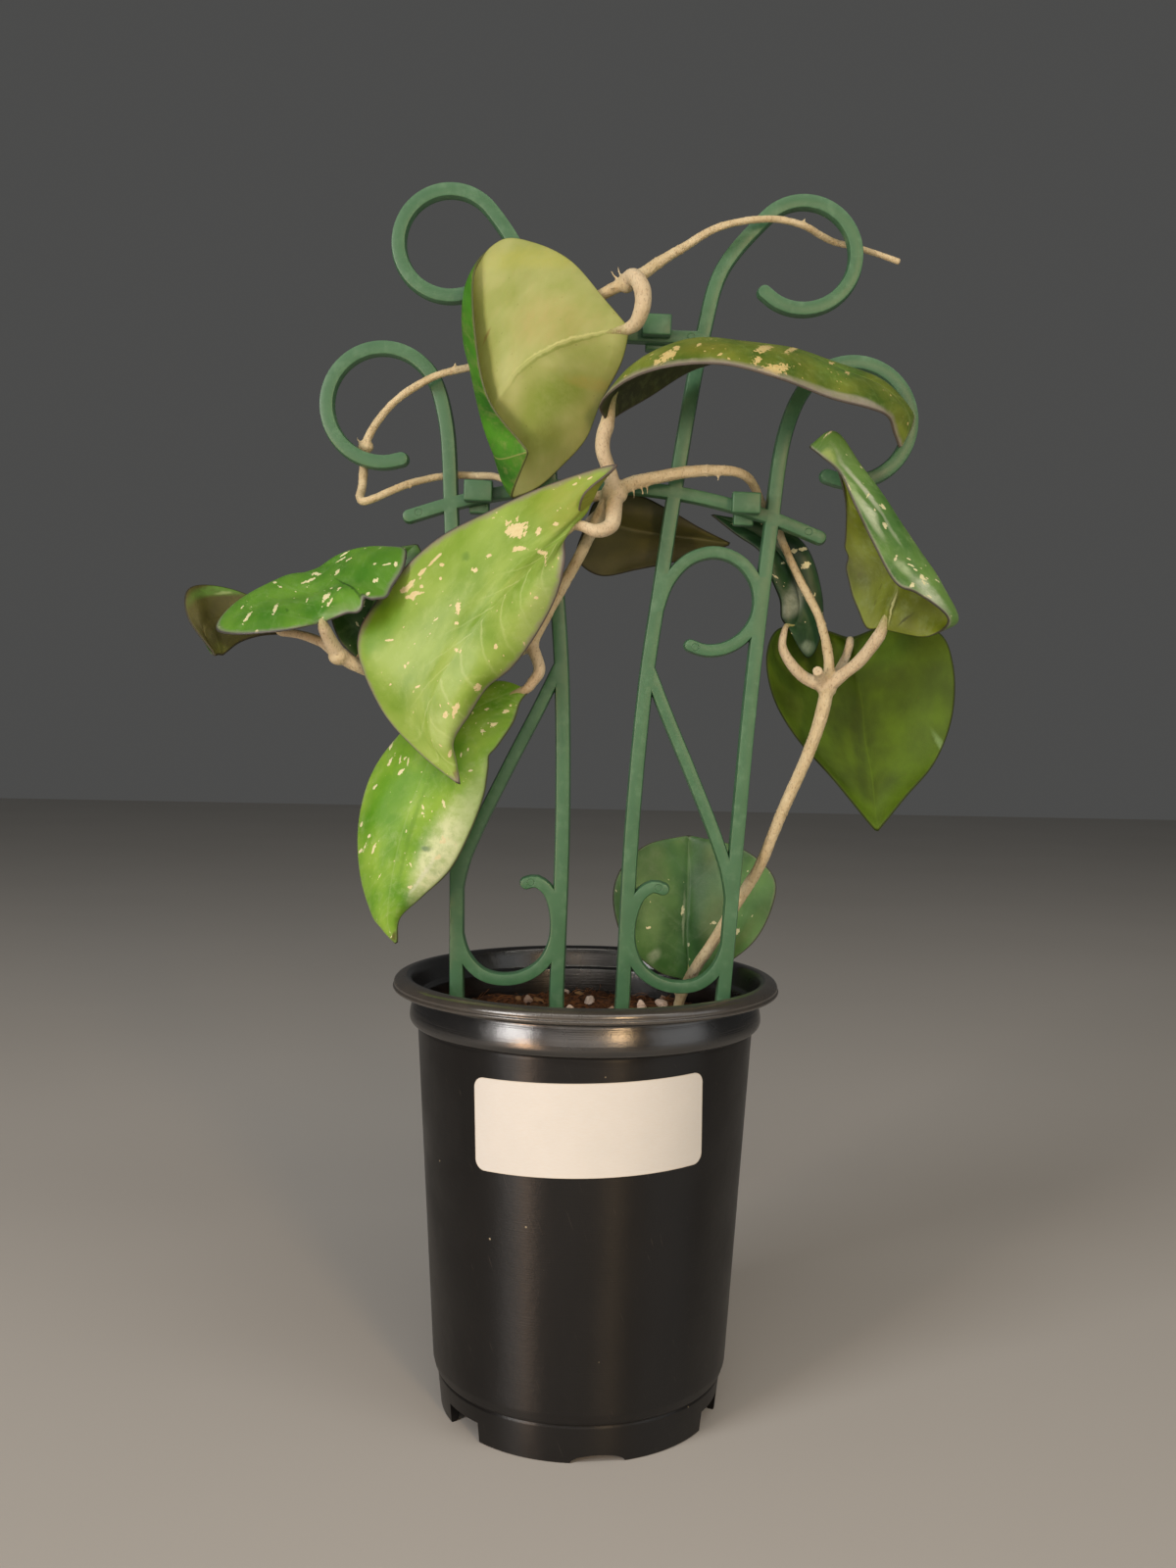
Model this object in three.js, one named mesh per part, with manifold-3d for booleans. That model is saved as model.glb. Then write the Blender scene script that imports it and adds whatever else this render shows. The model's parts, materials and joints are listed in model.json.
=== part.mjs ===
import * as THREE from "three";
import { mergeVertices } from "three/addons/utils/BufferGeometryUtils.js";
import Module from "manifold-3d";

// Potted climbing wax plant on a small fan trellis. Millimetres, +Z up, pot standing on Z = 0.
// The source is written about the pot's axis; the whole group is then moved so that its box is centred.

// Frame
const CENTRE = [-4.5, 0];

// Pot
const POT_HEIGHT = 125.4;
const RIM_RADIUS = 56;
const FOOT_RADIUS = 40.3;
const FOOT_HEIGHT = 10.7;
const WALL_RADIUS_LOW = 43;
const WALL_RADIUS_HIGH = 48.6;
const WALL_LOW_Z = 17;
const WALL_HIGH_Z = 110.5;
const WALL = 1.3;
const FLOOR_Z = 6;
const FLOOR_THICKNESS = 1.6;
const POT_SIDES = 40;
const FOOT_SLOT_WIDTH = 14;
const FOOT_ARCH_WIDTH = 15;
const FOOT_ARCH_HEIGHT = 2.4;
const FOOT_OPENINGS = 3;
const DRAIN_RADIUS = 4;
const DRAIN_CIRCLE = 25;
const DRAIN_COUNT = 6;

// Label
const LABEL_HEIGHT = 25.4;
const LABEL_LENGTH = 65.5;
const LABEL_BOTTOM_Z = 80.4;
const LABEL_AZIMUTH = THREE.MathUtils.degToRad(1.8);
const LABEL_TILT = THREE.MathUtils.degToRad(1.8);
const LABEL_CORNER = 3;
const LABEL_THICKNESS = 0.4;
const CONTACT_GAP = 0.3;

// Soil
const SOIL_TOP = 111.5;
const SOIL_RINGS = 6;
const SOIL_SIDES = 32;
const CHIP_COUNT = 17;
const PERLITE_COUNT = 12;

// Trellis
const BAR_WIDTH = 4.5;
const BAR_DEPTH = 3;
const TRELLIS_BASE = [1.2, 117];
const TRELLIS_LEAN = THREE.MathUtils.degToRad(1.5);
const LEG_BOTTOM_Z = 42;
const CLIP_WIDTH = 8.2;
const CLIP_HEIGHT = 6;
const CLIP_REACH = 4;

// Vine and leaves
const VINE_SIDES = 6;
const BLADE_RIB = 1.3;
const BLADE_MARGIN = 0.8;
const ROLLED_CELLS = 4;
const PLAIN_CELLS = 3;

const wasm = await Module();
wasm.setup();

let seed = 20431;
function random() {
  seed = (seed * 1103515245 + 12345) % 2147483648;
  return seed / 2147483648;
}

const vec = (p) => new THREE.Vector3(p[0], p[1], p[2]);

function solid(geometry) {
  const bare = new THREE.BufferGeometry();
  const flat = geometry.index ? geometry.toNonIndexed() : geometry;
  bare.setAttribute("position", flat.getAttribute("position"));
  const merged = mergeVertices(bare, 1e-4);
  const mesh = new wasm.Mesh({
    numProp: 3,
    vertProperties: merged.attributes.position.array,
    triVerts: new Uint32Array(merged.index.array),
  });
  return new wasm.Manifold(mesh);
}

function geometryOf(body) {
  const mesh = body.getMesh();
  const stride = mesh.numProp;
  const positions = new Float32Array(mesh.numVert * 3);
  for (let i = 0; i < mesh.numVert; i += 1) {
    positions.set(mesh.vertProperties.subarray(i * stride, i * stride + 3), i * 3);
  }
  const geometry = new THREE.BufferGeometry();
  geometry.setAttribute("position", new THREE.BufferAttribute(positions, 3));
  geometry.setIndex(new THREE.BufferAttribute(new Uint32Array(mesh.triVerts), 1));
  return geometry;
}

function signedVolume(positions, index) {
  let sum = 0;
  const a = new THREE.Vector3();
  const b = new THREE.Vector3();
  const c = new THREE.Vector3();
  for (let i = 0; i < index.length; i += 3) {
    a.fromArray(positions, index[i] * 3);
    b.fromArray(positions, index[i + 1] * 3);
    c.fromArray(positions, index[i + 2] * 3);
    sum += a.dot(b.cross(c));
  }
  return sum / 6;
}

// Indexed geometry, turned so that its faces point out
function closedGeometry(positions, index) {
  if (signedVolume(positions, index) < 0) {
    for (let i = 0; i < index.length; i += 3) {
      [index[i + 1], index[i + 2]] = [index[i + 2], index[i + 1]];
    }
  }
  const geometry = new THREE.BufferGeometry();
  geometry.setAttribute("position", new THREE.Float32BufferAttribute(positions, 3));
  geometry.setIndex(index);
  return geometry;
}

// Two equal grids of points, joined round their edges into one closed plate
function plate(front, back) {
  const rows = front.length;
  const columns = front[0].length;
  const positions = [];
  for (const side of [front, back]) {
    for (const row of side) {
      for (const p of row) {
        positions.push(p.x, p.y, p.z);
      }
    }
  }
  const at = (side, i, j) => side * rows * columns + i * columns + j;
  const index = [];
  for (let i = 0; i < rows - 1; i += 1) {
    for (let j = 0; j < columns - 1; j += 1) {
      index.push(at(0, i, j), at(0, i + 1, j), at(0, i + 1, j + 1));
      index.push(at(0, i, j), at(0, i + 1, j + 1), at(0, i, j + 1));
      index.push(at(1, i, j), at(1, i + 1, j + 1), at(1, i + 1, j));
      index.push(at(1, i, j), at(1, i, j + 1), at(1, i + 1, j + 1));
    }
  }
  const edge = [];
  for (let j = 0; j < columns - 1; j += 1) {
    edge.push([0, j]);
  }
  for (let i = 0; i < rows - 1; i += 1) {
    edge.push([i, columns - 1]);
  }
  for (let j = columns - 1; j > 0; j -= 1) {
    edge.push([rows - 1, j]);
  }
  for (let i = rows - 1; i > 0; i -= 1) {
    edge.push([i, 0]);
  }
  edge.forEach(([i, j], k) => {
    const [m, n] = edge[(k + 1) % edge.length];
    index.push(at(0, i, j), at(0, m, n), at(1, m, n));
    index.push(at(0, i, j), at(1, m, n), at(1, i, j));
  });
  return closedGeometry(positions, index);
}

// Round rod along a smooth curve through the points, its radius running through the given radii
function rod(points, radii, rings, sides = VINE_SIDES) {
  const curve = new THREE.CatmullRomCurve3(points.map(vec), false, "centripetal");
  const frames = curve.computeFrenetFrames(rings, false);
  const positions = [];
  const radiusAt = (t) => {
    const s = t * (radii.length - 1);
    const k = Math.min(Math.floor(s), radii.length - 2);
    return THREE.MathUtils.lerp(radii[k], radii[k + 1], s - k);
  };
  const ring = (centre, k, radius) => {
    for (let j = 0; j < sides; j += 1) {
      const angle = (2 * Math.PI * j) / sides;
      const p = centre.clone();
      p.addScaledVector(frames.normals[k], Math.cos(angle) * radius);
      p.addScaledVector(frames.binormals[k], Math.sin(angle) * radius);
      positions.push(p.x, p.y, p.z);
    }
  };
  const start = curve.getPointAt(0);
  const end = curve.getPointAt(1);
  const first = start.clone().addScaledVector(frames.tangents[0], -0.5 * radii[0]);
  const last = end.clone().addScaledVector(frames.tangents[rings], 0.5 * radii[radii.length - 1]);
  ring(first, 0, radiusAt(0) * 0.6);
  for (let k = 0; k <= rings; k += 1) {
    ring(curve.getPointAt(k / rings), k, radiusAt(k / rings));
  }
  ring(last, rings, radiusAt(1) * 0.6);
  const count = rings + 3;
  const index = [];
  for (let k = 0; k < count - 1; k += 1) {
    for (let j = 0; j < sides; j += 1) {
      const a = k * sides + j;
      const b = k * sides + ((j + 1) % sides);
      index.push(a, b, b + sides, a, b + sides, a + sides);
    }
  }
  for (let j = 1; j < sides - 1; j += 1) {
    const top = (count - 1) * sides;
    index.push(0, j + 1, j, top, top + j, top + j + 1);
  }
  return solid(closedGeometry(positions, index));
}

function join(bodies) {
  return bodies.reduce((sum, body) => sum.add(body));
}

function block(width, depth, height, x, y, z) {
  return new THREE.BoxGeometry(width, depth, height).translate(x, y, z);
}

function lump(x, y, z, rx, ry, rz, turn = 0) {
  const ball = new THREE.IcosahedronGeometry(1, 1);
  ball.scale(rx, ry, rz);
  ball.rotateY(turn);
  return solid(ball.translate(x, y, z));
}

// Pot
function wallRadius(z) {
  const t = (z - WALL_LOW_Z) / (WALL_HIGH_Z - WALL_LOW_Z);
  return THREE.MathUtils.lerp(WALL_RADIUS_LOW, WALL_RADIUS_HIGH, t);
}

function potBody() {
  const outside = [
    [FOOT_RADIUS, 0],
    [FOOT_RADIUS + 1.1, FOOT_HEIGHT - 0.6],
    [FOOT_RADIUS + 0.7, FOOT_HEIGHT],
    [WALL_RADIUS_LOW - 0.9, FOOT_HEIGHT + 1],
    [WALL_RADIUS_LOW - 0.2, FOOT_HEIGHT + 3.4],
    [WALL_RADIUS_LOW, WALL_LOW_Z],
    [WALL_RADIUS_HIGH, WALL_HIGH_Z],
    [WALL_RADIUS_HIGH - 0.1, WALL_HIGH_Z + 0.9],
    [WALL_RADIUS_HIGH + 1, WALL_HIGH_Z + 2],
    [WALL_RADIUS_HIGH + 1.5, WALL_HIGH_Z + 4.5],
    [WALL_RADIUS_HIGH + 1.7, POT_HEIGHT - 5.6],
    [WALL_RADIUS_HIGH + 2.6, POT_HEIGHT - 4.2],
    [RIM_RADIUS - 0.7, POT_HEIGHT - 3.6],
    [RIM_RADIUS, POT_HEIGHT - 2.8],
    [RIM_RADIUS - 0.6, POT_HEIGHT - 1.3],
    [RIM_RADIUS - 2.2, POT_HEIGHT - 0.2],
    [RIM_RADIUS - 4, POT_HEIGHT],
  ];
  const inside = [
    [RIM_RADIUS - 5.2, POT_HEIGHT - 0.6],
    [RIM_RADIUS - 5.9, POT_HEIGHT - 2.2],
    [WALL_RADIUS_HIGH + 0.4, POT_HEIGHT - 6.4],
    [WALL_RADIUS_HIGH - 0.9, POT_HEIGHT - 7],
    [WALL_RADIUS_HIGH - WALL, WALL_HIGH_Z],
    [WALL_RADIUS_LOW - WALL, WALL_LOW_Z],
    [WALL_RADIUS_LOW - WALL - 1, FLOOR_Z + FLOOR_THICKNESS + 2],
    [WALL_RADIUS_LOW - WALL - 3, FLOOR_Z + FLOOR_THICKNESS],
    [0, FLOOR_Z + FLOOR_THICKNESS],
    [0, FLOOR_Z],
    [FOOT_RADIUS - 3.4, FLOOR_Z],
    [FOOT_RADIUS - 2, 0],
  ];
  const profile = [...outside, ...inside, outside[0]];
  const points = profile.map(([r, z]) => new THREE.Vector2(r, z));
  const lathe = new THREE.LatheGeometry(points, POT_SIDES);
  lathe.rotateX(Math.PI / 2);
  return lathe;
}

function radialCut(geometry, azimuth) {
  return solid(geometry.rotateZ(azimuth));
}

function makePot() {
  const lathe = potBody();
  const merged = mergeVertices(lathe.deleteAttribute("uv").deleteAttribute("normal"), 1e-3);
  const positions = Array.from(merged.attributes.position.array);
  const index = Array.from(merged.index.array);
  let pot = solid(closedGeometry(positions, index));
  for (let k = 0; k < FOOT_OPENINGS; k += 1) {
    const turn = (2 * Math.PI * k) / FOOT_OPENINGS;
    const slot = block(FOOT_SLOT_WIDTH, 12, 7, 0, -FOOT_RADIUS, 2.2);
    pot = pot.subtract(radialCut(slot, turn + THREE.MathUtils.degToRad(-52)));
    const arch = new THREE.CylinderGeometry(FOOT_ARCH_WIDTH / 2, FOOT_ARCH_WIDTH / 2, 12, 16);
    arch.scale(1, 1, FOOT_ARCH_HEIGHT / (FOOT_ARCH_WIDTH / 2));
    arch.translate(0, -FOOT_RADIUS, 0);
    pot = pot.subtract(radialCut(arch, turn + THREE.MathUtils.degToRad(8)));
  }
  for (let k = 0; k < DRAIN_COUNT; k += 1) {
    const hole = new THREE.CylinderGeometry(DRAIN_RADIUS, DRAIN_RADIUS, 8, 12);
    hole.rotateX(Math.PI / 2);
    hole.translate(0, -DRAIN_CIRCLE, FLOOR_Z);
    pot = pot.subtract(radialCut(hole, (2 * Math.PI * k) / DRAIN_COUNT));
  }
  return geometryOf(pot);
}

// Label: a rounded rectangle laid round the wall, a little turned
function makeLabel() {
  const columns = 20;
  const half = LABEL_LENGTH / 2;
  const middle = LABEL_BOTTOM_Z + LABEL_HEIGHT / 2;
  const place = (s, t, lift) => {
    const along = s * Math.cos(LABEL_TILT) - t * Math.sin(LABEL_TILT);
    const up = s * Math.sin(LABEL_TILT) + t * Math.cos(LABEL_TILT);
    const z = middle + up;
    const radius = wallRadius(z) + CONTACT_GAP + lift;
    const angle = LABEL_AZIMUTH + along / wallRadius(middle);
    return new THREE.Vector3(radius * Math.sin(angle), -radius * Math.cos(angle), z);
  };
  const front = [];
  const back = [];
  for (let i = 0; i <= columns; i += 1) {
    const s = -half * Math.cos((Math.PI * i) / columns);
    const inCorner = Math.max(0, Math.abs(s) - (half - LABEL_CORNER));
    const drop = LABEL_CORNER - Math.sqrt(Math.max(0, LABEL_CORNER ** 2 - inCorner ** 2));
    const reach = LABEL_HEIGHT / 2 - drop;
    front.push([-1, 0, 1].map((k) => place(s, k * reach, LABEL_THICKNESS)));
    back.push([-1, 0, 1].map((k) => place(s, k * reach, 0)));
  }
  return plate(front, back);
}

// Trellis, drawn flat in its own X and Z about its centre line, then leaned
function strip(points, width = BAR_WIDTH, steps = 2) {
  const curve = new THREE.CatmullRomCurve3(
    points.map(([x, z]) => new THREE.Vector3(x, 0, z)),
    false,
    "centripetal",
  );
  const count = (points.length - 1) * steps;
  const left = [];
  const right = [];
  for (let k = 0; k <= count; k += 1) {
    const p = curve.getPoint(k / count);
    const t = curve.getTangent(k / count);
    left.push([p.x - (t.z * width) / 2, p.z + (t.x * width) / 2]);
    right.push([p.x + (t.z * width) / 2, p.z - (t.x * width) / 2]);
  }
  const outline = [...left, ...right.reverse()].map(([x, z]) => new THREE.Vector2(x, z));
  const shape = new THREE.Shape(outline);
  const bar = new THREE.ExtrudeGeometry(shape, { depth: BAR_DEPTH, bevelEnabled: false, steps: 1 });
  bar.rotateX(Math.PI / 2);
  return solid(bar.translate(0, BAR_DEPTH / 2, 0));
}

function roundEnd(x, z, radius = BAR_WIDTH / 2) {
  const disc = new THREE.CylinderGeometry(radius, radius, BAR_DEPTH, 12);
  return solid(disc.translate(x, 0, z));
}

function arc(cx, cz, radius, from, to, count) {
  const points = [];
  for (let k = 0; k <= count; k += 1) {
    const angle = THREE.MathUtils.degToRad(from + ((to - from) * k) / count);
    points.push([cx + radius * Math.cos(angle), cz + radius * Math.sin(angle)]);
  }
  return points;
}

// Centre lines of the right-hand unit. The left-hand unit is its mirror image, but the plastic has sprung a
// little, so each side has its own curls: centre, radius and the angle where the curl ends.
const RIGHT_CURLS = { top: [51.6, 335, 15.2, -134], side: [68.1, 288.4, 17, -112] };
const LEFT_CURLS = { top: [49.5, 334, 15, -130], side: [67.1, 287.2, 16.3, -111] };
const INNER_LEG = [
  [9.7, 117],
  [10.2, 170],
  [12.3, 212],
  [15, 238],
  [18, 266],
  [24, 311],
  [28.6, 330],
];
const OUTER_LEG = [
  [39, 117],
  [41, 168],
  [43, 211],
  [46.2, 256],
  [49, 284],
  [53.2, 296],
];
const LOWER_SCROLL = [
  [20, 151],
  [17.2, 151.6],
  [13.4, 149],
  [10.9, 142],
  [11, 134],
  [14, 127.6],
  [19.5, 123.6],
  [26, 122.4],
  [32, 123.8],
  [36.9, 128.5],
  [39.6, 136],
  [40.2, 146],
  [38.6, 156],
  [35.4, 165],
  [27, 184],
  [18.6, 202],
  [13.3, 214],
];
const UPPER_SCROLL = [
  [14, 230],
  [17.4, 240.5],
  [23, 247],
  [30.6, 249.4],
  [38, 247],
  [43, 240.5],
  [43.6, 232],
  [40, 225.4],
  [34.5, 221.8],
  [29, 221],
  [24.6, 222.2],
];

function trellisUnit({ top, side }) {
  const topCurl = arc(...top.slice(0, 3), 140, top[3], 17);
  const sideCurl = arc(...side.slice(0, 3), 125, side[3], 16);
  const parts = [
    strip([...INNER_LEG, ...topCurl], BAR_WIDTH, 1),
    roundEnd(...topCurl.at(-1)),
    strip([...OUTER_LEG, ...sideCurl], BAR_WIDTH, 1),
    roundEnd(...sideCurl.at(-1)),
    strip(LOWER_SCROLL, 4),
    roundEnd(...LOWER_SCROLL[0], 2),
    strip(UPPER_SCROLL, 4),
    roundEnd(...UPPER_SCROLL.at(-1), 2),
  ];
  for (const x of [9.7, 39]) {
    const foot = x - 3;
    parts.push(strip([[x, 118], [foot, LEG_BOTTOM_Z + 8]], BAR_WIDTH, 1));
    parts.push(strip([[foot + 0.3, LEG_BOTTOM_Z + 9], [foot, LEG_BOTTOM_Z]], 2.4, 1));
  }
  return join(parts);
}

function mirrorX(body) {
  const geometry = geometryOf(body);
  const positions = Array.from(geometry.attributes.position.array, (v, i) => (i % 3 === 0 ? -v : v));
  return solid(closedGeometry(positions, Array.from(geometry.index.array)));
}

function clip(x, z) {
  const front = block(CLIP_WIDTH, CLIP_REACH, CLIP_HEIGHT, x, -(BAR_DEPTH + CLIP_REACH) / 2 + 0.2, z + 1);
  const rear = block(CLIP_WIDTH * 0.7, CLIP_REACH, CLIP_HEIGHT, x, (BAR_DEPTH + CLIP_REACH) / 2 - 0.2, z - 1.6);
  return join([solid(front), solid(rear)]);
}

function trellisFlat() {
  const crossbar = [-58.3, -46.3, -33.4, -18.6, 0, 18.6, 33.4, 46.3, 60.4];
  const height = (x) => 267 - 0.0033 * x * x;
  const parts = [
    trellisUnit(RIGHT_CURLS),
    mirrorX(trellisUnit(LEFT_CURLS)),
    strip(crossbar.map((x) => [x, height(x)]), 4.3, 1),
    roundEnd(crossbar.at(-1), height(crossbar.at(-1)), 2.15),
    roundEnd(crossbar[0], height(crossbar[0]), 2.15),
    strip([[-24, 310.2], [24, 310.2]], 4.3, 1),
  ];
  for (const side of [-1, 1]) {
    parts.push(clip(side * 38.4, height(38.4) + 0.2));
    parts.push(clip(side * 10.5, 311.4));
  }
  return join(parts);
}

function lean(geometry) {
  geometry.translate(0, 0, -TRELLIS_BASE[1]);
  geometry.rotateY(TRELLIS_LEAN);
  geometry.translate(TRELLIS_BASE[0], 0, TRELLIS_BASE[1]);
  return geometry;
}

function makeTrellis() {
  return lean(geometryOf(trellisFlat()));
}

// Holes in the soil for the four legs
function legHoles() {
  const holes = [];
  for (const x of [-39, -9.7, 9.7, 39]) {
    const foot = x - Math.sign(x) * 3;
    const tall = 118 - LEG_BOTTOM_Z;
    const hole = new THREE.BoxGeometry(BAR_WIDTH + 1, BAR_DEPTH + 0.8, tall + 1);
    hole.translate(0, 0, tall / 2);
    const slant = Math.atan2(x - foot, 118 - LEG_BOTTOM_Z - 8);
    hole.rotateY(slant);
    hole.translate(foot - Math.sign(x) * 0.35, 0, LEG_BOTTOM_Z - 0.6);
    holes.push(solid(lean(hole)));
  }
  return join(holes);
}

// Vine: one woody piece of stems, leaf stalks, joints and short aerial roots
const STEMS = [
  // from the soil to the first joint, behind the trellis
  {
    path: [[28, 24, 98], [28.6, 23.2, 110], [29.8, 21.4, 116], [33.3, 17, 124.4], [37.8, 14, 132.3],
      [42, 12, 140.2], [46.8, 10, 148.9], [51.2, 8.5, 157.1], [57.2, 7, 173.1], [63.7, 6.2, 188.9],
      [67.7, 6, 200.7], [69.6, 6, 210.5]],
    radii: [1.5, 1.7, 1.7, 1.7, 1.8, 2.1],
    rings: 11,
  },
  // on to the second joint, through the gap beside the right clip
  {
    path: [[69.6, 6, 210.5], [70.5, 6, 216.5], [69.5, 6, 223.5], [67, 6, 232.5], [62.5, 6, 241.5],
      [57.5, 6.5, 251], [53.5, 6.5, 258], [49.5, 6, 263], [46.2, 1, 267.6], [43.2, -4.6, 269.6],
      [39.5, -7, 270.6], [34, -7, 270.8], [26, -6.6, 270.2], [17.5, -7, 268.5], [10.5, -8, 266.5], [5.5, -9, 264]],
    radii: [1.9, 1.6, 1.5, 1.4, 1.3, 1.3, 1.6, 1.8, 2.2],
    rings: 22,
  },
  // down to the third and fourth joints, in front of the trellis
  {
    path: [[5.5, -9, 264], [1.5, -8, 257.5], [-1.5, -8, 251], [-5.5, -7.5, 243], [-10.5, -6.4, 234],
      [-15, -6.2, 225.5], [-17.5, -7, 220.5]],
    radii: [2.2, 1.7, 1.6, 1.6, 1.8],
    rings: 9,
  },
  {
    path: [[-17.5, -7, 220.5], [-23.5, -5.4, 217.5], [-35, -4.6, 214], [-46, -4.6, 211.5], [-57, -6, 211],
      [-64, -8.5, 212.5], [-71.5, -12, 216.5]],
    radii: [1.8, 1.5, 1.5, 1.6, 2.1],
    rings: 10,
  },
  // thin climbing stem: bends sharply on the left, passes behind the lower left curl and up to the top joint
  {
    path: [[5.5, -9, 264], [-2, -5.5, 262.5], [-10.5, -4, 263], [-19, -4, 265], [-23.5, -3.8, 266.6],
      [-27, -2.8, 268.2], [-30.4, 0.8, 269.4], [-34, 3.4, 269.8], [-38, 3.8, 270], [-44, 3.8, 269.6],
      [-48.5, 2, 268.4], [-53, -1, 266.6], [-58, -3, 264.2], [-62.4, -4.2, 261.8], [-66, -4.4, 260.6],
      [-67.4, -2.4, 261.9], [-67.5, 1.6, 265.6], [-67.5, 4, 270.5], [-67.3, 4.2, 277.5], [-65.6, 3.4, 281.5],
      [-62, 1, 286],
      [-57, -2, 290.3], [-51.5, -4, 293.6], [-44.5, -4.5, 297], [-36.5, -4.5, 299], [-29, -4.6, 301.5],
      [-19.5, -5.4, 305.5], [-10, -8.4, 312], [-1.5, -9, 317.5], [7.5, -10, 322]],
    radii: [1.5, 1.1, 1.1, 1.1, 1.15, 1.3, 1.1, 1.1, 1.1, 1.3, 1.8],
    rings: 38,
  },
  // growing tip, over the right-hand top curl
  {
    path: [[7.5, -10, 322], [12, -9.4, 324.5], [16.5, -8.4, 328], [24.5, -7, 333.5], [32.5, -6.5, 338.5],
      [41, -6, 341], [49.5, -5, 342], [58, -3.2, 341], [63.5, 0.5, 339.6], [68, 4, 339],
      [75, 5, 337.8], [82, 4.4, 335.5], [87, 3.4, 333.4]],
    radii: [2, 1.4, 1.1, 1, 1, 0.9, 0.9],
    rings: 15,
  },
];

const STALKS = [
  { path: [[7.5, -10, 322], [9.4, -13, 322.8], [11.9, -16, 318.8], [12.2, -17, 313.6], [11, -15.6, 310],
    [10.12, -14.25, 309.06]], radii: [2.2, 2.3, 2.4, 2.3, 2], rings: 9 },
  { path: [[5.5, -9, 264], [4, -10, 269.5], [2, -11, 275], [2.1, -11.2, 279], [2.85, -11.22, 281.41]],
    radii: [2.4, 2, 2.1, 2.2], rings: 6 },
  { path: [[5.5, -9, 264], [5.4, -12, 258.5], [4.6, -15, 253.6], [0.8, -16.6, 251.8], [-3.4, -16, 253.2]],
    radii: [2.6, 2.4, 2.3, 2, 1.5], rings: 8 },
  { path: [[-17.5, -7, 220.5], [-15.8, -9, 217], [-14.8, -10, 213], [-17.47, -9.57, 208.61]],
    radii: [2, 1.7, 1.7, 1.5], rings: 6 },
  { path: [[-71.5, -12, 216.5], [-73.2, -15, 220], [-74.3, -18.4, 223.3]], radii: [2.3, 2, 1.7], rings: 4 },
  { path: [[-71.5, -12, 216.5], [-76, -9, 219.6], [-82.5, -4, 222], [-87.6, 1, 223], [-90.59, 3.35, 223.32]],
    radii: [1.9, 1.4, 1.3, 1.2], rings: 6 },
  { path: [[-69.5, -11, 215], [-68.4, -4, 213.6], [-68.4, 3, 213.8], [-68.71, 7.12, 215.49]], radii: [1.8, 1.3, 1.3],
    rings: 5 },
  { path: [[69.6, 6, 210.5], [73.5, 4, 214], [77.5, 2, 217.5], [80.5, 0, 221.5], [82.85, -1.44, 225.22]],
    radii: [2.2, 1.8, 1.9, 1.9], rings: 6 },
  { path: [[69.6, 6, 210.5], [63, 6, 213], [58.6, 5, 217], [55.8, 4.6, 222], [56.45, 5.68, 226.74]],
    radii: [2.2, 1.8, 1.6, 1.4], rings: 7 },
  { path: [[69.6, 6, 210.5], [73.4, 11, 215.4], [75.8, 12, 219.6], [76.8, 11.5, 223.3]], radii: [2, 1.3, 1.3],
    rings: 5 },
  { path: [[68.4, 6, 211], [66.4, 2.6, 214], [65.6, 0.4, 215]], radii: [1.8, 1.6, 1.5], rings: 3 },
  { path: [[2.4, -8, 259], [1.2, -3, 258.8], [-1.34, 2.36, 257.38]], radii: [1.5, 1.3, 1.2], rings: 4 },
  { path: [[29.3, 21.6, 117.4], [30.4, 24.4, 117.4], [31.4, 26.4, 118.1]], radii: [1.5, 1.3, 1.2], rings: 3 },
];

// Joints: centre and radii
const JOINTS = [
  [[69.4, 6, 210.4], [3, 2.6, 3.2]],
  [[5.6, -9.4, 263.6], [3.8, 3, 3.6]],
  [[-17.4, -7, 220.2], [2.4, 2.3, 2.6]],
  [[-71.3, -12, 216], [3, 2.6, 2.6]],
  [[7.8, -10.2, 321.8], [2.6, 2.6, 2.8]],
  [[-67, 4.3, 277.8], [2.3, 2, 2]],
  [[16.6, -8.4, 328], [1.7, 1.6, 1.5]],
  [[29.2, 22, 117], [2.2, 2.1, 2.4]],
];

// Short aerial roots: foot, direction and length
const ROOTS = [
  [[10.4, -8.6, 265.4], [0.2, -0.2, -1], 4.6],
  [[12.6, -8, 266], [0.35, -0.3, -1], 4],
  [[14.2, -7.8, 266.6], [0.2, 0.1, -1], 4.2],
  [[34.5, -7.2, 269.6], [0.1, -0.2, -1], 3],
  [[41.2, -6.2, 269.8], [0.9, -0.4, 0.5], 3.2],
  [[6.4, -10, 322.4], [-0.9, -0.2, 0.7], 5],
  [[6.2, -10.6, 321.2], [-1, -0.5, -0.5], 4.4],
  [[6.8, -10.2, 323.2], [-0.5, 0.1, 1], 4.6],
  [[-53.4, -1.6, 266.4], [0.1, -0.2, -1], 2.6],
  [[-68.2, 4.2, 279], [-0.8, -0.1, 0.8], 3],
  [[-40.4, -4.8, 298.6], [0.2, -0.2, 1], 2.6],
  [[58, -3.6, 341.4], [0.4, -0.2, 1], 2.6],
  [[-72, -12.6, 217], [-0.7, -0.3, 0.7], 4],
  [[4.4, -10.8, 261.4], [-0.8, -0.5, -0.5], 3.4],
];

function root([foot, direction, length]) {
  const along = vec(direction).normalize();
  const start = vec(foot).addScaledVector(along, -1);
  const end = vec(foot).addScaledVector(along, length - 1);
  return rod([start.toArray(), end.toArray()], [0.5, 0.25], 1, 4);
}

function vineBody() {
  const bodies = [...STEMS, ...STALKS].map((s) => rod(s.path, s.radii, s.rings, s.sides));
  for (const [centre, radii] of JOINTS) {
    bodies.push(lump(...centre, ...radii));
  }
  for (const entry of ROOTS) {
    bodies.push(root(entry));
  }
  return join(bodies);
}

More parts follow.
